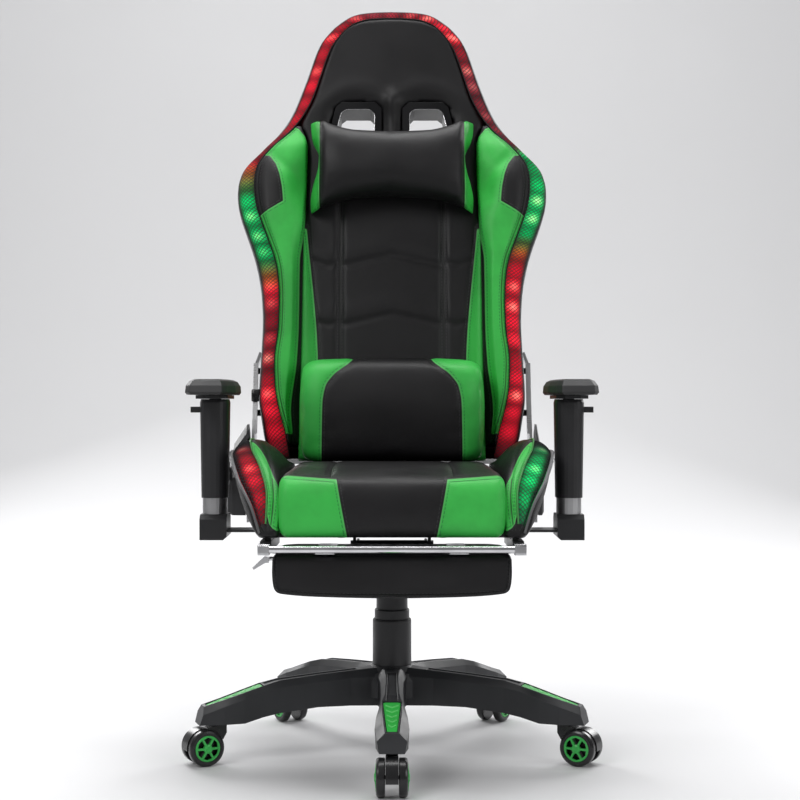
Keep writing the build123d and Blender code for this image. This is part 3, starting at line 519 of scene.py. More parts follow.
def spread(points, count):
    # evenly spaced points on a smooth curve through the given ones
    points = [Vector(p) for p in points]
    ends = [points[0] * 2 - points[1]] + points + [points[-1] * 2 - points[-2]]
    fine = []
    for a, b, c, d in zip(ends, ends[1:], ends[2:], ends[3:]):
        for n in range(12):
            t = n / 12
            fine.append(0.5 * (b * 2 + (c - a) * t + (a * 2 - b * 5 + c * 4 - d) * t**2
                               + (b * 3 - a - c * 3 + d) * t**3))
    return evenly(fine + [points[-1]], count, count - 1)


def filleted(outline, radius, count):
    # evenly spaced points round a closed outline with its corners rounded
    dense = []
    outline = [Vector(p) for p in outline]
    for a, b, c in zip(outline[-1:] + outline[:-1], outline, outline[1:] + outline[:1]):
        reach = min(radius, (a - b).length * 0.48, (c - b).length * 0.48)
        start, end = b + (a - b).normalized() * reach, b + (c - b).normalized() * reach
        for n in range(9):
            t = n / 8
            dense.append(start * (1 - t) ** 2 + b * (2 * t * (1 - t)) + end * t**2)
    return evenly(dense + dense[:1], count, count)


def between(bottom, top, left, right):
    # a grid of points inside four border curves
    rows = []
    for j, (west, east) in enumerate(zip(left, right)):
        v = j / (len(left) - 1)
        row = []
        for i, (south, north) in enumerate(zip(bottom, top)):
            u = i / (len(bottom) - 1)
            low, high = (line[0] * (1 - u) + line[-1] * u for line in (bottom, top))
            corners = low * (1 - v) + high * v
            row.append(south * (1 - v) + north * v + west * (1 - u) + east * u - corners)
        rows.append(row)
    return rows


def borderOf(rows):
    # once round the edge of a grid
    parts = (rows[0], [r[-1] for r in rows], rows[-1][::-1], [r[0] for r in rows][::-1])
    return [p for part in parts for p in part[:-1]]


def nearest(place, line):
    # distance to a line of points, the run along it to there, and that spot
    best = (1e9, 0.0, place)
    run = 0.0
    for a, b in zip(line, line[1:]):
        way = b - a
        t = max(0.0, min(1.0, (place - a).dot(way) / max(way.length_squared, 1e-12)))
        spot = a + way * t
        gap = (place - spot).length
        if gap < best[0]:
            best = (gap, run + way.length * t, spot)
        run += way.length
    return best


def inside(place, outline):
    crossings = 0
    for a, b in zip(outline, outline[1:] + outline[:1]):
        if (a.y > place.y) != (b.y > place.y):
            if place.x < a.x + (b.x - a.x) * (place.y - a.y) / (b.y - a.y):
                crossings += 1
    return crossings % 2 == 1


def signedTo(place, outline):
    # distance to a closed outline in metres, above zero inside it
    gap = nearest(place, outline + outline[:1])[0] * 0.001
    return gap if inside(place, outline) else -gap


def step01(value, low, high):
    t = max(0.0, min(1.0, (value - low) / (high - low)))
    return t * t * (3 - 2 * t)


def dip(distance, width):
    return math.exp(-((distance / width) ** 2))


class Skin:
    # a mesh being made from grids of points, with values kept for each point
    def __init__(self, name):
        self.name, self.points, self.faces, self.values = name, [], [], {}

    def grid(self, rows, ring=False, keep=None):
        start, wide = len(self.points), len(rows[0])
        for row in rows:
            self.points += row
        for r in range(len(rows) - 1):
            for c in range(wide if ring else wide - 1):
                a, b = r * wide + c, r * wide + (c + 1) % wide
                face = (a, b, b + wide, a + wide)
                if keep is None or all(keep[i // wide][i % wide] for i in face):
                    self.faces.append(tuple(start + i for i in face))
        return start

    def closed(self, rows):
        # a ring carried from one capped end to the other
        start, wide = self.grid(rows, ring=True), len(rows[0])
        self.faces.append(tuple(range(start, start + wide)))
        self.faces.append(tuple(range(len(self.points) - wide, len(self.points))))

    def fields(self, **values):
        self.values.update(values)

    def build(self, materials, place=None, merge=0.0002):
        mesh = bpy.data.meshes.new(self.name)
        mesh.from_pydata([p * 0.001 for p in self.points], [], self.faces)
        for label, values in self.values.items():
            mesh.attributes.new(label, "FLOAT", "POINT").data.foreach_set("value", values)
        work = bmesh.new()
        work.from_mesh(mesh)
        loose = [v for v in work.verts if not v.link_faces]
        bmesh.ops.delete(work, geom=loose, context="VERTS")
        bmesh.ops.remove_doubles(work, verts=work.verts, dist=merge)
        bmesh.ops.dissolve_degenerate(work, dist=0.00005, edges=work.edges)
        bmesh.ops.recalc_face_normals(work, faces=work.faces)
        work.to_mesh(mesh)
        work.free()
        mesh.shade_smooth()
        piece = bpy.data.objects.new(self.name, mesh)
        scene.collection.objects.link(piece)
        for material in materials:
            mesh.materials.append(material)
        if place is not None:
            mesh.transform(place)
        return piece


def sideName(sign):
    return "Right" if sign > 0 else "Left"


def pipe(name, lines, radius, material, place=None, closed=False, start=1.0):
    # a round welt along smooth lines of points; it may swell from a thinner start over its first third
    data = bpy.data.curves.new(name, "CURVE")
    data.dimensions = "3D"
    data.bevel_depth, data.bevel_resolution, data.resolution_u = radius * 0.001, 3, 3
    for line in lines:
        spline = data.splines.new("NURBS")
        spline.points.add(len(line) - 1)
        for n, (point, where) in enumerate(zip(spline.points, line)):
            point.co = (*(Vector(where) * 0.001), 1)
            point.radius = start + (1 - start) * min(1.0, 3 * n / len(line))
        spline.use_endpoint_u = not closed
        spline.use_cyclic_u = closed
        spline.order_u = 4
    data.use_fill_caps = True
    piece = bpy.data.objects.new(name, data)
    scene.collection.objects.link(piece)
    data.materials.append(material)
    if place is not None:
        data.transform(place)
    return piece


# backrest, drawn upright in the CAD's leaning frame: x, depth behind the front plane, run up it

back = {
    "foot": (180, 500), "lean": 9,
    "bolsterInner": [(500, 186), (540, 186), (583, 189), (673, 179), (740, 176), (858, 175), (930, 166),
                     (1085, 162), (1125, 173)],
    "rise": [(500, 20), (560, 38), (700, 45), (1000, 45), (1073, 30), (1125, 10), (1178, 6), (1340, 4)],
    "rimInner": [(500, 186.5), (548, 196), (583, 206), (625, 214), (673, 216), (737, 209), (784, 208),
                 (831, 210.5), (863, 216.5), (892, 227), (930, 241.5), (967, 253.5), (1007, 257.5),
                 (1038, 254), (1073, 232), (1125, 182), (1178, 151.5), (1215, 139), (1288, 113), (1322, 84)],
    "outline": [(490, 214), (500, 218), (520, 230), (571, 239), (607, 245), (698, 241), (751, 239),
                (804, 242), (841, 248), (873, 256), (905, 267), (942, 280.5), (975, 289), (1002, 290.5),
                (1029, 284.5), (1078, 243), (1135, 195), (1209, 164), (1291, 135), (1322, 110)],
    "rimTopInner": [(84, 1322), (58, 1334), (30, 1338), (0, 1339)],
    "rimTopOuter": [(110, 1322), (76, 1345), (40, 1352), (0, 1353.5)],
    "stripInner": [(500, 134), (690, 138), (930, 160), (1130, 176)],
    "stripOuter": [(500, 172), (690, 168), (930, 165), (1085, 161), (1130, 176)],
    "slot": [(20, 1162), (20, 1100), (29, 1089), (99, 1089), (110, 1102), (116, 1126), (107, 1164),
             (96, 1174), (32, 1174)],
    "slotHole": [(33, 1152), (33, 1108), (39, 1100), (92, 1100), (99, 1108), (104, 1127), (97, 1154),
                 (88, 1161), (42, 1161)],
    "seamX": 97, "chevrons": (879, 767), "chevronFall": 22, "sideChevrons": (872, 760),
    "shoulder": [(300, 1080), (229, 1059), (217, 1042), (209.5, 1021), (204.5, 996), (202, 969), (249, 941),
                 (300, 912)],
    "greenTop": 928, "unsewn": 0.05,
}
leanBack = (Matrix.Translation((0, back["foot"][0] * 0.001, back["foot"][1] * 0.001))
            @ Matrix.Rotation(-math.radians(back["lean"]), 4, "X"))
leanCos = math.cos(math.radians(back["lean"]))


def runUp(height):
    return (height - back["foot"][1]) / leanCos


def heightOf(run):
    return run * leanCos + back["foot"][1]


def flatPoint(x, z):
    return Vector((x, runUp(z), 0))


def flatPath(table, low, high):
    # the (x, run) points of a table between two heights
    keys = [low] + [k for k, _ in table if low < k < high] + [high]
    return [flatPoint(easedOne(table, k), k) for k in keys]


def mirrorX(points):
    return [Vector((-p.x, *p[1:])) for p in points]


slotRight = [flatPoint(*p) for p in back["slot"]]
slotOutlines = [slotRight, mirrorX(slotRight)]
rise = back["rise"]
centreRight = flatPath(back["stripOuter"], 500, 1128)[:-1] + [flatPoint(174, 1128), flatPoint(167, 1150)]
centreRight += [flatPoint(easedOne(back["rimInner"], z), z) for z in (1178, 1215, 1250, 1288, 1310, 1322)]
topInner = [flatPoint(*p) for p in back["rimTopInner"]]
topOuter = [flatPoint(*p) for p in back["rimTopOuter"]]


def wellAround(rows, backDepth, lip=6.5, near=2.6):
    # leather turns in round the harness slots: points just inside go deep, the rest inside are left out
    kept = []
    for row in rows:
        marks = []
        for p in row:
            flat = Vector((p.x, p.z, 0))
            state = 1
            for line in slotOutlines:
                gap, _, spot = nearest(flat, line + line[:1])
                if inside(flat, line):
                    state = 1 if gap < lip else 0
                    p.x, p.z, p.y = spot.x, spot.y, backDepth
                elif gap < near:
                    p.x, p.z = spot.x, spot.y
            marks.append(state)
        kept.append(marks)
    return kept


def panelAt(p):
    # how far inside the green strip a point of the backrest is
    x, z = abs(p.x), heightOf(p.z)
    inner = easedOne(back["stripInner"], z)
    return min(x - inner, (back["greenTop"] - z) * 0.5 + (x - inner) * 0.1) * 0.001


backCentre = {
    "wide": 73, "tall": 175, "spacing": (4.6, 4.9), "foot": 172,
    # sewn details, each as depth and width
    "channel": (5.5, 5.5), "quilt": (3.2, 4.2), "puff": (2.0, 20), "stripSeam": (3.0, 3.5),
    "border": (4.5, 11),
    # head section, each as place, depth, radius and width
    "hollow": ((64, 1132), 12, 38, 22), "brow": ((66, 1122), 2.0, 78, 15), "ridge": (6, 12),
}


def quiltGaps(x, z):
    # heights above the quilted chevrons
    if x < back["seamX"]:
        fall = x / back["seamX"] * back["chevronFall"]
        return [z - (c - fall) for c in back["chevrons"]]
    return [z - (c - 14 + abs(x - 120) * 0.35) for c in back["sideChevrons"]]


def centreDepth(p, edge):
    x, run = abs(p.x), p.y
    z = heightOf(run)
    inner, outer = easedOne(back["stripInner"], z), easedOne(back["stripOuter"], z)
    below = 1 - step01(z, 900, 960)
    ramp = step01(x, inner - 4, outer + 6) * below
    depth = -5 * (1 - (x / (outer + 12)) ** 2) - 0.5 * easedOne(rise, z) * ramp
    # centre channels and the quilted chevrons
    lower = 1 - step01(z, 1015, 1045)
    channel = x - back["seamX"]
    deep, width = backCentre["channel"]
    depth += deep * dip(channel, width) * lower
    fade = step01(abs(channel), 1, 9) * (1 - step01(x, inner - 8, inner + 2))
    for gap in quiltGaps(x, z):
        deep, width = backCentre["quilt"]
        depth += deep * dip(gap, width) * lower * fade
        deep, width = backCentre["puff"]
        depth -= deep * dip(gap - 22, width) * lower * fade
    deep, width = backCentre["stripSeam"]
    depth += deep * dip(x - inner, width) * below
    # the strip bows over its foam, and the border pulls in to its seam
    deep, width = backCentre["border"]
    depth += deep * (1 - min(1.0, edge / width)) ** 2
    # head section: a hollow round each slot, a brow over it and a soft ridge between
    for sign in (-1, 1):
        place, deep, radius, width = backCentre["hollow"]
        middle = flatPoint(sign * place[0], place[1])
        away = Vector((p.x - middle.x, (run - middle.y) * 1.05, 0)).length
        hollow = 1 - 0.55 * step01(run, runUp(1150), runUp(1200))
        depth += deep * math.exp(-((away - radius) / width) ** 2) * hollow
        place, deep, radius, width = backCentre["brow"]
        over = flatPoint(sign * place[0], place[1])
        brow = Vector((p.x - over.x, (run - over.y) * 0.93, 0)).length
        depth -= deep * math.exp(-((brow - radius) / width) ** 2) * step01(run, runUp(1140), runUp(1185))
    deep, width = backCentre["ridge"]
    return depth - deep * dip(x, width) * step01(z, 1080, 1110) * (1 - step01(z, 1170, 1215))


def centreSeam(p):
    # distance to the channel beside the middle panel, below the head section
    channel = abs(p.x) - back["seamX"]
    gap = abs(channel) if step01(heightOf(p.y), 1015, 1045) < 0.5 else 1e3
    return (gap if channel < 0 else -gap) * 0.001


def makeBackCentre():
    wide, tall, foot = backCentre["wide"], backCentre["tall"], backCentre["foot"]
    side = spread(centreRight, tall)
    base = spread([(-foot, 0, 0), (0, 0, 0), (foot, 0, 0)], wide)
    top = spread(mirrorX(topInner)[:-1] + topInner[::-1], wide)
    across, up = backCentre["spacing"]
    rows, seam = [], []
    for j, line in enumerate(between(base, top, mirrorX(side), side)):
        rows.append([])
        for i, p in enumerate(line):
            edge = min(min(i, wide - 1 - i) * across, (tall - 1 - j) * up)
            rows[-1].append(Vector((p.x, centreDepth(p, edge), p.y)))
            seam.append(centreSeam(p))
    flat = [p for row in rows for p in row]
    panel, along = [panelAt(p) for p in flat], [p.z * 0.001 for p in flat]
    skin = Skin("backCentre")
    skin.grid(rows, keep=wellAround(rows, 40))
    # the border turns back to the shell, and its lower edge hangs down behind the seat
    loop = borderOf(rows)
    middle = [Vector((p.x, 4, p.z - 5.4 * (p.z < 1))) for p in loop]
    rear = [Vector((p.x, 34, p.z - 0.9 * (p.z < 1))) for p in loop]
    skin.grid([loop, middle, rear], ring=True)
    turned = loop + middle + rear
    skin.fields(panel=panel + [panelAt(p) for p in turned], seam=seam + [back["unsewn"]] * len(turned),
                along=along + [p.z * 0.001 for p in turned])
    return skin.build([upholstery], leanBack)


bolster = {
    "low": 524, "high": 1124, "tall": 125, "wide": 38,
    # share across, how far from the inner to the outer edge, share of the rise
    "crown": [(0.42, 0.32, -1.08), (0.74, 0.72, -1.07), (1, 1, -0.85)],
    "border": (3.2, 9), "seam": 7, "seamDip": (1.5, 1.7), "waves": 3.4,
    "fold": (3.5, 15), "shoulderDip": (19, 24), "shoulderPlace": (170, 1004),
}


def bolsterDepth(x, z, t, gap):
    # what the border, the seam and the folds over the shoulder add to the bolster's own section
    deep, width = bolster["border"]
    border = min(1.0, gap / width)
    added = deep * (1 - border) ** 2
    hill = noise.noise(Vector((x * 0.017, z * 0.011, 4.2))) * step01(z, 700, 900)
    added -= bolster["waves"] * hill * min(1.0, t * 5) * border
    deep, width = bolster["fold"]
    fold = dip((z - 1040) - (x - 200) * 0.9, width) * step01(x, 168, 190) * (1 - step01(x, 215, 240))
    added += deep * fold
    deep, width = bolster["shoulderDip"]
    away = math.hypot(x - bolster["shoulderPlace"][0], (z - bolster["shoulderPlace"][1]) / 1.8)
    return added + deep * dip(away, width) * min(1.0, t * 6)


def makeBolster(sign):
    low, high, tall, wide = (bolster[key] for key in ("low", "high", "tall", "wide"))
    shoulder = [Vector((x, z, 0)) for x, z in back["shoulder"]]
    rows, panel, seam, along = [], [], [], []
    for j in range(tall):
        z = low + (high - low) * j / (tall - 1)
        inner, near, far = (easedOne(back[k], z) for k in ("stripOuter", "bolsterInner", "rimInner"))
        inner, near = min(inner, near - 2), min(near, far - 4)
        lift = easedOne(rise, z)
        foot = -0.42 * lift * (1 - step01(z, 900, 960))
        keys = [(0, inner, foot), (0.16, near - 0.5, -0.78 * lift)]
        keys += [(share, near + reach * (far - near), up * lift) for share, reach, up in bolster["crown"]]
        row = []
        for i in range(wide):
            t = i / (wide - 1)
            x, y = eased(keys, t)
            fromSeam = far - x - bolster["seam"]
            deep, width = bolster["seamDip"]
            y += deep * dip(fromSeam, width) + bolsterDepth(x, z, t, (1 - t) * (far - inner))
            row.append(Vector((sign * x, y, runUp(z))))
            patch = signedTo(Vector((x, z, 0)), shoulder)
            face = (x - near + 4) * 0.001
            crown = (1117 - z + (x - 176) * (0.6 if x > 176 else 1.3)) * 0.001
            panel.append(min(-patch, face, crown, (z - 540) * 0.001))
            seam.append(abs(fromSeam) * 0.001)
        # round behind to the shell
        row += [Vector((sign * x, y, runUp(z))) for x, y in ((far, 4), (far, 34), (inner, 34))]
        panel += [-0.01] * 3
        seam += [back["unsewn"]] * 3
        along += [runUp(z) * 0.001] * len(row)
        rows.append(row)
    skin = Skin("backBolster" + sideName(sign))
    skin.closed(rows)
    skin.fields(panel=panel, seam=seam, along=along)
    return skin.build([upholstery], leanBack)


rim = {
    "low": 496, "high": 1322, "stations": 150, "overTop": 36, "wide": 15,
    "base": 6, "proud": 1.5, "riseShare": 0.85, "seamDip": (2.6, 6), "lip": (0.995, 14),
    "widthShare": 0.00115,
}


def rimStations():
    # matching points on the inner seam and outer edge, from the left foot over the top to the right foot
    low, high, count = rim["low"], rim["high"], rim["stations"]
    heights = [low + (high - low) * n / count for n in range(count)]
    inner, outer = ([flatPoint(easedOne(back[key], z), z) for z in heights] + spread(top, rim["overTop"])
                    for key, top in (("rimInner", topInner), ("outline", topOuter)))
    return [mirrorX(line) + line[::-1][1:] for line in (inner, outer)]


def makeRim(inner, outer):
    wide = rim["wide"]
    deep, reach = rim["seamDip"]
    rows, along, across, size = [], [], [], []
    run, last = 0.0, None
    for near, far in zip(inner, outer):
        middle = (near + far) / 2
        run += (middle - last).length if last else 0.0
        last = middle
        crown = rim["base"] + rim["riseShare"] * easedOne(rise, heightOf(near.y)) + rim["proud"]
        width = (far - near).length
        row = []
        for t in (i / (wide - 1) for i in range(wide)):
            angle = t * math.pi / 2
            y = rim["base"] - crown * math.cos(angle) ** 0.85
            y += deep * (1 - min(1.0, t * width / reach)) ** 2
            flat = near.lerp(far, math.sin(angle) ** 0.92)
            row.append(Vector((flat.x, y, flat.y)))
            across.append(t)
        along += [run * 0.001] * wide
        size += [width * rim["widthShare"]] * wide
        rows.append(row)
    skin = Skin("backLightRim")
    skin.grid(rows)
    # a return behind the outer edge
    inwards, depth = rim["lip"]
    skin.grid([[r[-1] for r in rows], [Vector((r[-1].x * inwards, depth, r[-1].z)) for r in rows]])
    along, across, size = (values + values[wide - 1::wide] * 2 for values in (along, across, size))
    skin.fields(along=along, across=across, acrossSize=size)
    print("rim length", round(run, 1))
    return skin.build([backLightMesh], leanBack)


# rear cover: a rounded side wall, then the flat back with the same slots

backShell = {
    "depth": 66, "inset": 46, "middle": 900,
    # the wall's rings: how far out, how deep, and how much lower along the foot
    "wall": ((2.6, 56, 4), (4.0, 48, 4), (4.6, 38, 2), (4.6, 20, 0), (4.6, 7, 0)),
}


def makeBackShell():
    wide, tall = 61, 150
    sideLine = flatPath(back["outline"], 500, 1322)
    side = spread([Vector((p.x - 5, p.y - (3 if p.y > 560 else 0), 0)) for p in sideLine], tall)
    topLine = [Vector((x * 0.95, runUp(z) - 5, 0)) for x, z in back["rimTopOuter"]]
    topLine[0] = side[-1].copy()
    top = spread(mirrorX(topLine)[:-1] + topLine[::-1], wide)
    base = spread([Vector((x, 0, 0)) for x in (-side[0].x, 0, side[0].x)], wide)
    flat = between(base, top, mirrorX(side), side)
    borderFlat = borderOf(flat)
    ringLine = borderFlat[::4] + borderFlat[:1]
    rows, seam, along = [], [], []
    for line in flat:
        row = []
        for p in line:
            gap, run, _ = nearest(p, ringLine)
            fromSeam = gap - backShell["inset"]
            depth = backShell["depth"] - 14 * (1 - min(1.0, gap / 26)) ** 2 - 2.2 * dip(fromSeam, 3.5)
            row.append(Vector((p.x, depth, p.y)))
            seam.append(fromSeam * 0.001)
            along.append(run * 0.001)
        rows.append(row)
    skin = Skin("backShell")
    skin.grid(rows, keep=wellAround(rows, 32))
    loop = borderOf(rows)
    rings = [loop]
    centre = flatPoint(0, backShell["middle"])
    for grow, depth, sag in backShell["wall"]:
        ring = []
        for n, p in enumerate(loop):
            before, after = loop[n - 1], loop[(n + 1) % len(loop)]
            way = Vector((after.z - before.z, 0, before.x - after.x)).normalized()
            if way.dot(Vector((p.x - centre.x, 0, p.z - centre.y))) < 0:
                way = -way
            low = p.z < 4
            up = way.z * grow * (0.15 if low else 1) - sag * low
            ring.append(Vector((p.x + way.x * grow, depth, p.z + up)))
        rings.append(ring)
    skin.grid(rings, ring=True)
    extra = len(rings) * len(loop)
    skin.fields(panel=[-back["unsewn"]] * (len(seam) + extra), seam=seam + [back["unsewn"]] * extra,
                along=along + [0.0] * extra)
    return skin.build([upholstery], leanBack)


# stuffed pieces: a closed section carried along X, rounded in at both ends

def endStations(half, radius, across, arc=7):
    # (x, inset) from one end to the other: shrinking rings on the end face, a rounded edge, then the middle
    edge = []
    for n in range(arc):
        angle = math.pi / 2 * n / arc
        edge.append((half - radius * (1 - math.cos(angle)), radius * (1 - math.sin(angle))))
    middle = [(half - radius) * (1 - 2 * n / across) for n in range(across + 1)]
    stations = [(x, inset, 1.0) for x, inset in edge] + [(x, 0.0, 1.0) for x in middle]
    stations += [(-x, inset, 1.0) for x, inset in reversed(edge)]
    faces = [(half, radius, k) for k in (0.12, 0.36, 0.6, 0.82)]
    return faces + stations + [(-x, inset, k) for x, inset, k in reversed(faces)]


def pulledIn(ring, inset, shrink):
    # the ring moved in from its box by an inset, then shrunk about its middle
    low = Vector([min(p[i] for p in ring) for i in range(2)])
    high = Vector([max(p[i] for p in ring) for i in range(2)])
    middle, half = (low + high) / 2, (high - low) / 2
    out = []
    for p in ring:
        rel = [(p[i] - middle[i]) * (1 - inset / half[i]) * shrink for i in range(2)]
        out.append(Vector((middle[0] + rel[0], middle[1] + rel[1])))
    return out


def swell(piece, held, cap, pressure=4.0, stiffness=15.0, frames=20):
    # the cover fills out between its held seams, and no point moves further than the cap
    rest = [v.co.copy() for v in piece.data.vertices]
    group = piece.vertex_groups.new(name="held")
    for weight in sorted({w for w in held if w > 0}):
        group.add([i for i, w in enumerate(held) if w == weight], weight, "REPLACE")
    cloth = piece.modifiers.new("swell", "CLOTH")
    settings = cloth.settings
    settings.quality = 6
    settings.mass = 0.3
    settings.tension_stiffness = settings.compression_stiffness = settings.shear_stiffness = stiffness
    settings.bending_stiffness = 0.5
    settings.use_pressure = True
    settings.uniform_pressure_force = pressure
    settings.vertex_group_mass = "held"
    settings.effector_weights.gravity = 0.0
    cloth.point_cache.frame_start, cloth.point_cache.frame_end = 1, frames
    for frameNumber in range(1, frames + 1):
        scene.frame_set(frameNumber)
    shown = piece.evaluated_get(bpy.context.evaluated_depsgraph_get())
    moved = [v.co.copy() for v in shown.data.vertices]
    piece.modifiers.remove(cloth)
    piece.vertex_groups.clear()
    furthest = 0.0
    for vertex, start, end in zip(piece.data.vertices, rest, moved):
        shift = end - start
        furthest = max(furthest, shift.length)
        limit = cap * math.tanh(shift.length / cap) if shift.length else 0.0
        vertex.co = start + shift.normalized() * limit
    scene.frame_set(1)
    piece.data.update()
    print("  swelled", piece.name, "by up to", round(furthest * 1000, 1), "mm before the cap")


def smoothOnce(piece):
    modifier = piece.modifiers.new("round", "SUBSURF")
    modifier.levels = modifier.render_levels = 1
    shown = piece.evaluated_get(bpy.context.evaluated_depsgraph_get())
    finer = bpy.data.meshes.new_from_object(shown)
    old = piece.data
    piece.modifiers.clear()
    piece.data = finer
    bpy.data.meshes.remove(old)
    finer.name = piece.name
    finer.shade_smooth()


def shiftPoints(piece, rule):
    for vertex in piece.data.vertices:
        vertex.co = Vector(rule(vertex.co * 1000)) * 0.001
    piece.data.update()


def stuff(skin, held, cap, settle, **rules):
    # swelled between its held seams, settled and smoothed; the rules give each point's values in millimetres
    piece = skin.build([upholstery], merge=0.00001)
    swell(piece, held, cap)
    shiftPoints(piece, settle)
    smoothOnce(piece)
    spots = [v.co * 1000 for v in piece.data.vertices]
    for label, rule in rules.items():
        values = [rule(p) * 0.001 for p in spots]
        piece.data.attributes.new(label, "FLOAT", "POINT").data.foreach_set("value", values)
    return piece


# head pillow, in the backrest's leaning frame

headPillow = {
    "seamX": 135, "back": -3, "middle": (547, 45), "reach": 20, "around": 60, "steps": 52,
    "seamHeights": ((0, 487, 605), (70, 482, 609), (112, 472, 620), (135, 464, 632), (156, 460, 636)),
    "depths": ((0, 92), (88, 90), (122, 84), (135, 72), (146, 50), (156, 26)),
    # rings past the seam, then the open end's rings, each shrunk about its middle
    "ends": (3, 6.5, 10, 13.5, 17, 20), "shrinks": (0.85, 0.6, 0.35, 0.12),
    # how far the open ends stand out past the seam, up the pillow
    "endReach": ((460, 17), (480, 18), (515, 12), (545, 2), (562, -1), (578, 3), (600, 15), (636, 19)),
}


def makeHeadPillow():
    around, steps, seamX = headPillow["around"], headPillow["steps"], headPillow["seamX"]
    reach, backDepth = headPillow["reach"], headPillow["back"]
    xs = [seamX * (1 - 2 * n / steps) for n in range(steps + 1)]
    ends = [(seamX + d, 1) for d in headPillow["ends"]] + [(seamX + reach, k) for k in headPillow["shrinks"]]
    stations = ends[::-1] + [(x, 1) for x in xs] + [(-x, k) for x, k in ends]
    rows, panel, along, held = [], [], [], []
    for x, shrink in stations:
        low, high = eased(headPillow["seamHeights"], abs(x))
        depth = easedOne(headPillow["depths"], abs(x))
        over = max(0.0, abs(x) - seamX)
        middle = (low + high) / 2
        valley = 3.0 * dip(abs(x) - seamX, 2.5)
        row = []
        for n in range(around):
            angle = 2 * math.pi * n / around
            c, s = math.cos(angle), math.sin(angle)
            up = math.copysign(abs(s) ** 0.8, s)
            out = math.copysign(abs(c) ** 0.72, c)
            z = middle + up * ((high - low) / 2 - valley) * shrink
            front = -depth if out > 0 else backDepth
            centre = (backDepth - depth) / 2 + (8 * over / reach)
            y = centre + (front - centre) * abs(out) * shrink + (valley if out > 0 else 0)
            # the open end is drawn together above its middle
            shown = min(abs(x), seamX) + over / reach * easedOne(headPillow["endReach"], z)
            gather = noise.noise(Vector((z * 0.05, math.copysign(3.1, x), y * 0.03)))
            across = math.copysign(shown + gather * 1.5 * min(1.0, over / 12), x)
            row.append(Vector((across, y + gather * 3 * min(1.0, over / 8), z)))
            panel.append((abs(x) - seamX) * 0.001)
            along.append(angle * 0.075)
            held.append(1.0 if abs(abs(x) - seamX) < 0.1 or over > 19 else 0.0)
        rows.append(row)
    skin = Skin("headPillow")
    skin.closed(rows)
    skin.fields(panel=panel, seam=[back["unsewn"]] * len(panel), along=along)

    def settle(p):
        # gathers run in from the end seams; the back stays flat on the chair
        side = abs(p.x) - seamX
        angle = math.atan2(p.z - headPillow["middle"][0], -p.y - headPillow["middle"][1])
        wave = noise.noise(Vector((angle * 4.6, math.copysign(2.0, p.x), 1.3)))
        strength = math.exp(-abs(side) / (16 if side < 0 else 9))
        shift = wave * strength * (3.6 if side < 0 else 5.0)
        slow = noise.noise(Vector((p.x * 0.012, p.y * 0.02, p.z * 0.016))) * 2.2
        return (p.x + (wave * 1.2 if side > 2 else 0), min(p.y - shift - slow, backDepth),
                p.z + shift * 0.35 * math.sin(angle))

    piece = stuff(skin, held, 0.008, settle)
    piece.data.transform(leanBack)
    return piece


# lumbar pillow, upright on the seat against the back

lumbarPillow = {
    "section": [(184, 503), (100, 498), (82, 510), (77, 560), (79, 620), (90, 666), (118, 683), (204, 681)],
    "half": 162, "edge": 34,
    "panelEdge": ((490, 126), (600, 124), (630, 119), (652, 104), (676, 74), (700, 56)),
}


def lumbarPanel(x, z):
    near = easedOne(lumbarPillow["panelEdge"], z)
    slope = (easedOne(lumbarPillow["panelEdge"], z + 2) - near) / 2
    return (abs(x) - near) / math.hypot(1, slope)


def makeLumbarPillow():
    section = filleted(lumbarPillow["section"], 30, 76)
    rows = []
    for x, inset, shrink in endStations(lumbarPillow["half"], lumbarPillow["edge"], 40, arc=9):
        wrap = 3 * (x / lumbarPillow["half"]) ** 2
        ring = pulledIn(section, inset * 0.5, shrink)
        rows.append([Vector((x, p[0] + wrap * 2, p[1] - wrap * 1.5)) for p in ring])
    held = [1.0 if abs(lumbarPanel(p.x, p.z)) < 2.6 else 0.0 for row in rows for p in row]
    skin = Skin("lumbarPillow")
    skin.closed(rows)

    def settle(p):
        gap = lumbarPanel(p.x, p.z)
        crease = 2.6 * dip(gap, 3.5)
        wave = noise.noise(Vector((p.z * 0.055, p.y * 0.05, math.copysign(5.0, p.x))))
        slow = noise.noise(Vector((p.x * 0.012, p.y * 0.012, p.z * 0.014))) * 2.4
        wrinkle = wave * math.exp(-abs(gap) / 12) * 2.6 + slow
        y = p.y + (crease - wrinkle) * (p.y < 150)
        rest = back["foot"][0] + (p.z - back["foot"][1]) * math.tan(math.radians(back["lean"])) - 5
        return p.x, min(y, rest), max(p.z + (wrinkle * 0.5 - crease) * (p.z > 640), 495.5)

    return stuff(skin, held, 0.009, settle, panel=lambda p: lumbarPanel(p.x, p.z), seam=lambda p: 50.0,
                 along=lambda p: p.z + p.y * 0.3)


# seat cushion

seatCushion = {
    "section": [(-258, 389), (-268, 400), (-274, 436), (-269, 470), (-252, 486), (-200, 491), (60, 493),
                (175, 492), (198, 486), (214, 452), (219, 436), (220, 389)],
    "half": 179, "edge": 16, "band": 487.5, "bandSlope": 0.07, "green": ((388, 70), (486, 88)), "seamX": 97,
}


def seatPanel(p):
    # green on the front face below the top band and outside the centre
    inner = easedOne(seatCushion["green"], p.z)
    band = seatCushion["band"] - p.z - seatCushion["bandSlope"] * (177 - abs(p.x))
    return min(band, abs(p.x) - inner, -p.y - 235, p.z - 388, 185.5 - abs(p.x))


def seatSeam(p):
    return abs(p.x) - seatCushion["seamX"] if p.z > 480 and p.y > -258 else 50.0


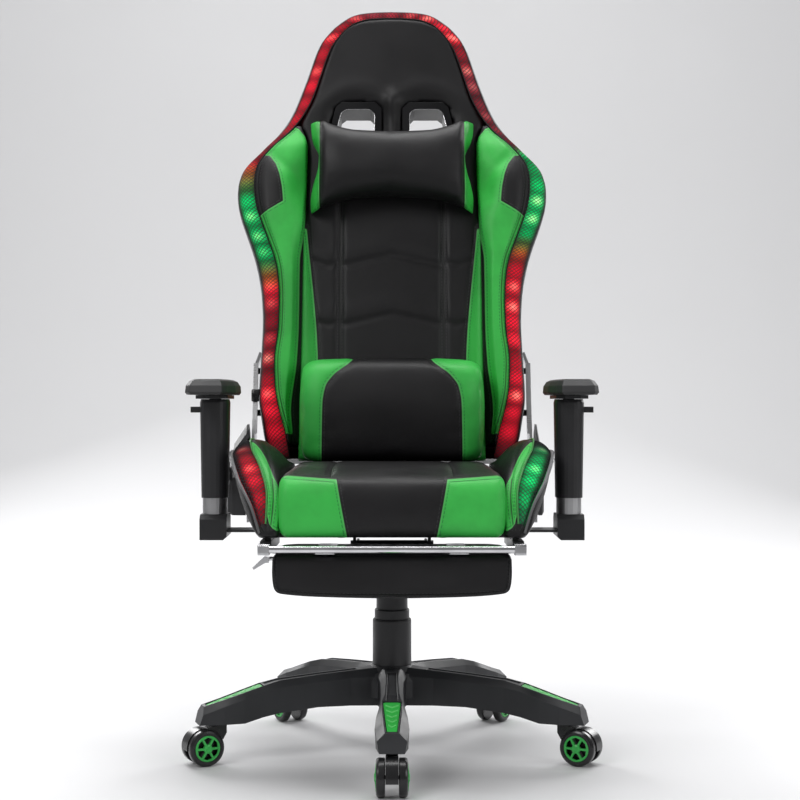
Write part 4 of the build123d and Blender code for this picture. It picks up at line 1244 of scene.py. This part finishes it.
def makeSeatCushion():
    half = seatCushion["half"]
    section = filleted(seatCushion["section"], 20, 150)
    rows = [[Vector((x, *p)) for p in pulledIn(section, inset, shrink)]
            for x, inset, shrink in endStations(half, seatCushion["edge"], 50)]
    held = []
    for p in (p for row in rows for p in row):
        fixed = p.z < 393 or p.y > 190 or abs(seatPanel(p)) < 2.2 and p.y < -230
        held.append(1.0 if fixed or abs(abs(p.x) - half) < 0.5 else 0.0)
    skin = Skin("seatCushion")
    skin.closed(rows)

    def settle(p):
        crease = 1.8 * dip(seatPanel(p), 3.0) * (p.y < -235)
        groove = 3.0 * dip(seatSeam(p), 5) * (1 - step01(abs(p.y + 20), 190, 230))
        slow = noise.noise(Vector((p.x * 0.011, p.y * 0.011, p.z * 0.02))) * 1.8
        y = p.y + (crease - slow) * (1 - step01(p.y, -262, -235))
        z = p.z - groove - (crease * 0.4 if p.z > 476 else 0) + (slow * 0.5 if p.z > 480 else 0)
        return p.x, max(y, -280), min(z, easedOne(((0, 500), (150, 499), (190, 494)), p.y))

    def along(p):
        return p.x if p.y < -255 and abs(p.x) < half and p.z > 478 else p.z + p.y

    return stuff(skin, held, 0.007, settle, panel=seatPanel, seam=seatSeam, along=along)


# seat wings: the section's corners per station along Y

seatWing = {
    "stations": [
        (-262, 178.5, 389, 178.5, 397, 190, 400, 199, 399, 208, 396, 207, 389),
        (-245, 178.5, 388, 178.5, 440, 187, 446, 198, 446, 222, 436, 209, 388),
        (-205, 178.5, 388, 178.5, 470, 193, 488, 209, 490, 246, 476, 214, 388),
        (-140, 178.5, 388, 178.5, 486, 205, 520, 231, 527, 264, 513, 220, 388),
        (-80, 178.5, 388, 178.5, 490, 214, 534, 237, 540, 267, 518, 222, 388),
        (0, 178.5, 388, 178.5, 490, 212, 532, 237, 537, 265, 512, 224, 388),
        (70, 178.5, 388, 178.5, 490, 208, 516, 230, 520, 253, 500, 226, 388),
        (125, 178.5, 388, 178.5, 491, 204, 497, 224, 498, 240, 484, 226, 388),
        (205, 178.5, 388, 178.5, 487, 196, 490, 220, 488, 236, 472, 224, 388)],
    "steps": (8, 7, 8, 12, 12, 5), "bulges": (2, 4, 2.5, 4.5, 7, 0),
    "front": -262, "rear": 205, "wall": 178.5, "lampsStart": -258, "lampsEnd": -86,
    # how far the green reaches in past the ridge's inner edge
    "greenReach": [(-262, 90), (-244, 60), (-226, 16), (-212, 4), (-190, -1), (-165, -7), (-135, -14),
                   (-105, -22), (-80, -32), (205, -32)],
    # the wing piping's pale band is a painted highlight on the wing's black outer side
    # name, column of the corner that each runs along, range of places, offset, radius, leather and its start
    "pipes": (("seatWingHighlightPiping", 8, (-262, 196, 6), (0.5, 1.0), 4.0, highlightBandLeather, 0.5),
              ("seatRidgePiping", 6, (-258, 130, 6), (0, 0.6), 1.5, greenPiping, 1.0)),
}


def makeSeatWing(sign, lampCloth):
    steps, bulges = seatWing["steps"], seatWing["bulges"]
    front, rear, wall = seatWing["front"], seatWing["rear"], seatWing["wall"]
    places = [front + (rear - front) * n / 104 for n in range(105)]
    rows, fields = [], {label: [] for label in ("panel", "seam", "along", "across", "acrossSize")}
    held = []
    run, last = 0.0, None
    for y in places:
        flat = eased(seatWing["stations"], y)
        corners = [Vector(flat[i:i + 2]) for i in range(0, 12, 2)]
        centre = sum(corners, Vector((0, 0))) / 6
        ridge = (corners[3] + corners[4]) / 2
        here = Vector((ridge[0], y, ridge[1]))
        run += (here - last).length if last else 0.0
        last = here
        reach = easedOne(seatWing["greenReach"], y)
        closing = min(1.0, (y - front) / 14, (rear - y) / 10)
        scale = 0.55 + 0.45 * math.sqrt(max(0.0, 1 - (1 - max(0.0, closing)) ** 2))
        innerWall = (corners[2] - corners[1]).length
        row = []
        for part, (a, b) in enumerate(zip(corners, corners[1:] + corners[:1])):
            length = (b - a).length
            out = Vector((b[1] - a[1], a[0] - b[0])).normalized()
            if out.dot((a + b) / 2 - centre) < 0:
                out = -out
            for n in range(steps[part]):
                t = n / steps[part]
                puff = bulges[part] * min(1.0, length / 30) * (1 - (2 * t - 1) ** 2)
                spot = a.lerp(b, t) + out * puff
                if part == 0:
                    spot[0] = max(spot[0], wall + 0.1)
                inwards = 2.0 * (dip(t * length, 3) if part in (2, 3, 4) else 0)
                inwards += 2.0 * (dip((1 - t) * length, 3) if part in (1, 2, 3) else 0)
                spot = spot + (centre - spot).normalized() * inwards
                spot = centre + (spot - centre) * scale
                row.append(Vector((sign * spot[0], y, spot[1])))
                after, left = t * length, (1 - t) * length
                fromRidge = {0: -innerWall - left, 1: -left, 2: after}.get(part, -200.0)
                toGreen = {2: min(fromRidge + reach, left), 3: -after}.get(part, fromRidge + reach)
                # the strip curves in to the cushion's lower corner
                curve = 0.052 * (spot[0] - 180) ** 2 * (1 - step01(y, -235, -205))
                toGreen = min(toGreen, 0.8 * (spot[1] - 400) - curve)
                seamGap = {3: left, 4: after}.get(part, 30.0)
                if part in (1, 2) and reach > 4:
                    seamGap = abs(fromRidge)
                for label, value in (("panel", max(-30.0, toGreen) * 0.001), ("seam", seamGap * 0.001),
                                     ("along", run * 0.001), ("across", t if part == 3 else 0.0),
                                     ("acrossSize", length * 0.001)):
                    fields[label].append(value)
                held.append(1.0 if n == 0 or part in (0, 5) else 0.0)
        rows.append(row)
    skin = Skin("seatWing" + sideName(sign))
    skin.closed(rows)
    skin.fields(**fields)
    piece = skin.build([upholstery, lampCloth], merge=0.00001)
    swell(piece, held, 0.005, pressure=2.5)
    first, ring = sum(steps[:3]), len(rows[0])
    for face in piece.data.polygons:
        columns = [i % ring for i in face.vertices]
        place = places[min(i // ring for i in face.vertices)]
        lit = len(columns) == 4 and min(columns) >= first and max(columns) <= first + steps[3]
        if lit and seatWing["lampsStart"] < place < seatWing["lampsEnd"]:
            face.material_index = 1
    shiftPoints(piece, lambda p: (math.copysign(max(abs(p.x), wall - 0.2), p.x), p.y, max(p.z, 387)))
    smoothOnce(piece)
    return piece


# footrest pad

footPad = {
    "section": [(-259, 296), (-260, 357), (-252, 363), (-66, 363), (-62, 358), (-62, 300), (-68, 295)],
    "half": 189, "edge": 9, "cornerLift": 7, "hem": (186.5, 297.5),
    "front": -263.5, "top": 364.8, "bottom": 291,
    "welt": [(-186.5, 356), (-187, 330), (-184, 309), (-177, 303.5), (-120, 298.5), (0, 296), (120, 298.5),
             (177, 303.5), (184, 309), (187, 330), (186.5, 356)],
}


def cornerLift(p):
    # the lower edge rises a little towards the corners
    return footPad["cornerLift"] * abs(p.x / footPad["half"]) ** 3


def makeFootPad():
    section = filleted(footPad["section"], 9, 96)
    rows, held = [], []
    for x, inset, shrink in endStations(footPad["half"], footPad["edge"], 60, arc=5):
        rows.append([])
        for p in pulledIn(section, inset, shrink):
            narrow = 1 - 0.018 * (1 - step01(p[1], 292, 350)) * (p[0] < -200)
            rows[-1].append(Vector((x * narrow, *p)))
            edge = abs(p[0] + 259) < 5 and (p[1] < 303 or p[1] > 354)
            held.append(1.0 if edge or abs(x) > 184 else 0.0)
    skin = Skin("footrestPad")
    skin.closed(rows)

    def settle(p):
        slow = noise.noise(Vector((p.x * 0.013, p.y * 0.013, p.z * 0.03))) * 1.6
        lift = cornerLift(p) * (1 - step01(p.z, 296, 350)) * (1 - step01(p.y, -240, -180))
        z = max(min(p.z, footPad["top"]), footPad["bottom"]) + lift
        return p.x, max(p.y - slow * (p.y < -240), footPad["front"]), z

    def hem(p):
        side, bottom = footPad["hem"]
        return min(side - abs(p.x), p.z - bottom - cornerLift(p)) if p.y < -254 else 30.0

    return stuff(skin, held, 0.006, settle, panel=lambda p: -50.0, seam=hem, along=lambda p: p.x + p.z)


# green insets at the arms' ends, each seated in its pocket, with chevrons raised on it

armInset = {
    "angles": (-90, -18, 54, 126, 198),
    "start": (232, 127), "end": (326, 97.9), "halfWidths": (14.2, 7.7), "rounding": 3.5,
    "rings": [(-8, 0), (-2.0, 0), (-1.4, 0.2), (-1.2, 0.7), (-1.2, 1.1)],
    "chevrons": 5, "first": 9, "pitch": 16, "arrow": 7, "thick": 4, "margin": 3, "raised": (-1.5, -0.4),
}


def insetPlaces():
    start, end = (Vector((x, 0, z)) for x, z in (armInset["start"], armInset["end"]))
    along = (end - start).normalized()
    tilt = Matrix((along, Vector((0, 1, 0)), Vector((-along.z, 0, along.x)))).transposed().to_4x4()
    for angle in armInset["angles"]:
        yield Matrix.Rotation(math.radians(angle), 4, "Z") @ Matrix.Translation(start) @ tilt


def makeArmInsets():
    length = math.dist(armInset["start"], armInset["end"])
    wide, narrow = armInset["halfWidths"]
    outline = [(0, -wide), (length, -narrow), (length, narrow), (0, wide)]
    section = filleted(outline, armInset["rounding"], 48)
    plates, chevrons = Skin("armInsets"), Skin("armChevrons")
    for place in insetPlaces():
        plates.closed([[place @ Vector((*p, z)) for p in pulledIn(section, inset, 1)]
                       for z, inset in armInset["rings"]])
        for n in range(armInset["chevrons"]):
            x = armInset["first"] + n * armInset["pitch"]
            half = wide - (wide - narrow) * x / length - armInset["margin"]
            thick, tip = armInset["thick"], x + armInset["arrow"]
            shape = [(x, -half), (tip, 0), (x, half), (x + thick, half), (tip + thick, 0), (x + thick, -half)]
            rows = [[place @ Vector((*p, z)) for p in shape] for z in armInset["raised"]]
            base = chevrons.grid(rows, ring=True)
            for a in (base, base + len(shape)):
                chevrons.faces += [(a, a + 1, a + 4, a + 5), (a + 1, a + 2, a + 3, a + 4)]
    for skin, material in ((plates, insertPlastic), (chevrons, highlightChevronPlastic)):
        piece = skin.build([material], merge=0.00001)
        piece.data.set_sharp_from_angle(angle=math.radians(40))
        yield piece


# plain band round the left recliner plate

reclinerBand = {
    "outline": [(-261, 203), (-243, 203), (-243, 270), (-261, 270)],
    "rings": [(604, 1.5), (605.5, 0), (625.5, 0), (627, 1.5)],
}


def makeReclinerBand():
    section = filleted(reclinerBand["outline"], 3, 56)
    rows = [[Vector((*p, z)) for p in pulledIn(section, inset, 1)] for z, inset in reclinerBand["rings"]]
    skin = Skin("reclinerBand")
    skin.closed(rows)
    return skin.build([glossBlack])


# pieces made and set on their bodies

def attach(piece, body, slotName, *nodes, fill=None):
    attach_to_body(piece, body)
    if nodes:
        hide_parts(*nodes)
    return piece


backTrim = {
    "edgeDepth": 6.5, "edgeRadius": 2.1, "seamDepth": 1.2, "seamRadius": 1.3,
    "slotDepth": 1.5, "slotRadius": 0.8,
}
attach(makeBackCentre(), "backrest", "black_upholstery", "backrest_cushion", fill=0.8)
print("back centre made")
for sign in (-1, 1):
    attach(makeBolster(sign), "backrest", "green_upholstery", "backrest_wings", fill=0.85)
print("bolsters made")
rimInner, rimOuter = rimStations()
attach(makeRim(rimInner, rimOuter), "backrest", "light_mesh", "backrest_light_mesh", fill=0.9)
attach(makeBackShell(), "backrest", "black_upholstery", "backrest_shell", fill=0.9)
# the outer welt is real; its pale grey colour is a painted highlight
edge = [Vector((p.x, backTrim["edgeDepth"], p.y)) for p in rimOuter[::4]]
piping = pipe("backEdgePiping", [edge], backTrim["edgeRadius"], highlightPipingLeather, leanBack)
attach(piping, "backrest", "black_upholstery")
seamLine = [Vector((p.x, backTrim["seamDepth"] - rim["riseShare"] * easedOne(rise, heightOf(p.y)), p.y))
            for p in rimInner[::4]]
piping = pipe("backSeamPiping", [seamLine], backTrim["seamRadius"], blackLeather, leanBack)
attach(piping, "backrest", "black_upholstery")
hole = [Vector((x, backTrim["slotDepth"], runUp(z))) for x, z in filleted(back["slotHole"], 5, 72)]
slotTrim = pipe("slotTrim", [hole, mirrorX(hole)], backTrim["slotRadius"], chrome, leanBack, closed=True)
attach(slotTrim, "backrest", "gloss_black")
print("back rim and shell made")

insets, insetChevrons = makeArmInsets()
attach(insets, "base", "green_plastic", "arm_inserts")
attach(insetChevrons, "base", "green_plastic")
print("arm insets made")

attach(makeReclinerBand(), "backrest", "gloss_black")
attach(makeHeadPillow(), "backrest", "black_upholstery", "head_pillow", fill=0.85)
attach(makeLumbarPillow(), "backrest", "black_upholstery", "lumbar_pillow", fill=0.85)
print("pillows made")

attach(makeSeatCushion(), "seat", "black_upholstery", "seat_cushion", fill=0.9)
for sign, cloth in ((-1, seatLampsLeft), (1, seatLampsRight)):
    attach(makeSeatWing(sign, cloth), "seat", "black_upholstery", "seat_wings", "seat_light_mesh", fill=0.9)
    for name, column, places, (out, up), radius, leather, start in seatWing["pipes"]:
        corners = [(y, eased(seatWing["stations"], y)) for y in range(*places)]
        line = [Vector((sign * (row[column] + out), y, row[column + 1] + up)) for y, row in corners]
        attach(pipe(name + sideName(sign), [line], radius, leather, start=start), "seat", "black_upholstery")
print("seat made")

attach(makeFootPad(), "footrest", "black_upholstery", "footrest_pad", fill=0.9)
welt = spread([(x, -260.5, z) for x, z in footPad["welt"]], 60)
attach(pipe("footrestPiping", [welt], 1.6, weltLeather), "footrest", "black_upholstery")
print("footrest made")


# stage: pale floor, soft lamps and the camera

studio = {
    "floorColour": (0.7, 0.7, 0.71), "halfWidth": 30.0, "front": -7.0,
    "bend": 1.9, "radius": 2.6, "top": 8.0,
    "cameraPlace": (0.0, -2.832, 0.603), "lens": 73.67, "shift": (0.01, 0.0025), "world": 0.22,
    # name, place, aim, size and power
    "lamps": (("keyLamp", (-1.9, -2.4, 2.7), (0, 0, 0.7), (1.5, 1.5), 46),
              ("fillLamp", (2.4, -2.0, 1.7), (0, 0, 0.7), (1.6, 1.6), 22),
              ("topLamp", (0.0, 0.2, 3.2), (0, 0, 0.6), (2.0, 1.2), 44),
              ("rimLamp", (-1.6, 2.4, 1.9), (0, 0, 0.8), (1.0, 1.6), 46),
              ("rimLampRight", (1.8, 2.2, 1.7), (0, 0, 0.8), (1.0, 1.6), 38),
              ("backdropLamp", (0, 1.0, 3.6), (0, 4.4, 1.3), (5.0, 0.8), 95)),
}


def makeFloor():
    # flat under the chair, then bent up behind it
    bend, radius, half = studio["bend"], studio["radius"], studio["halfWidth"]
    turns = [math.pi / 2 * n / 14 for n in range(1, 15)]
    sweep = [(studio["front"], 0.0), (bend, 0.0)]
    sweep += [(bend + radius * math.sin(a), radius - radius * math.cos(a)) for a in turns]
    sweep.append((bend + radius, studio["top"]))
    mesh = bpy.data.meshes.new("studioFloor")
    points = [(x, y, z) for y, z in sweep for x in (-half, half)]
    mesh.from_pydata(points, [], [(2 * n, 2 * n + 1, 2 * n + 3, 2 * n + 2) for n in range(len(sweep) - 1)])
    mesh.shade_smooth()
    material, tree, principled = startMaterial("floorPaint", studio["floorColour"], Roughness=0.55)
    grain = noiseOf(tree, objectSpace(tree), 3.0, 3.0)
    tree.links.new(rangeOf(tree, grain, 0.3, 0.7, 0.5, 0.6), principled.inputs["Roughness"])
    mesh.materials.append(material)
    floor = bpy.data.objects.new("studioFloor", mesh)
    scene.collection.objects.link(floor)
    return floor


makeFloor()

world = bpy.data.worlds.new("studioWorld")
scene.world = world
world.use_nodes = True
background = world.node_tree.nodes["Background"]
background.inputs["Color"].default_value = (1, 1, 1, 1)
background.inputs["Strength"].default_value = studio["world"]

for name, place, aim, size, power in studio["lamps"]:
    light = bpy.data.lights.new(name, "AREA")
    light.shape = "RECTANGLE"
    light.size, light.size_y = size
    light.energy = power
    lamp = bpy.data.objects.new(name, light)
    lamp.location = place
    lamp.rotation_euler = (Vector(aim) - Vector(place)).to_track_quat("-Z", "Y").to_euler()
    scene.collection.objects.link(lamp)

camera = bpy.data.objects.new("camera", bpy.data.cameras.new("camera"))
scene.collection.objects.link(camera)
camera.location = studio["cameraPlace"]
camera.rotation_euler = (math.pi / 2, 0, 0)
camera.data.lens = studio["lens"]
camera.data.sensor_width = 36
camera.data.shift_x, camera.data.shift_y = studio["shift"]
scene.camera = camera
scene.view_settings.view_transform = "Standard"
print("stage set")
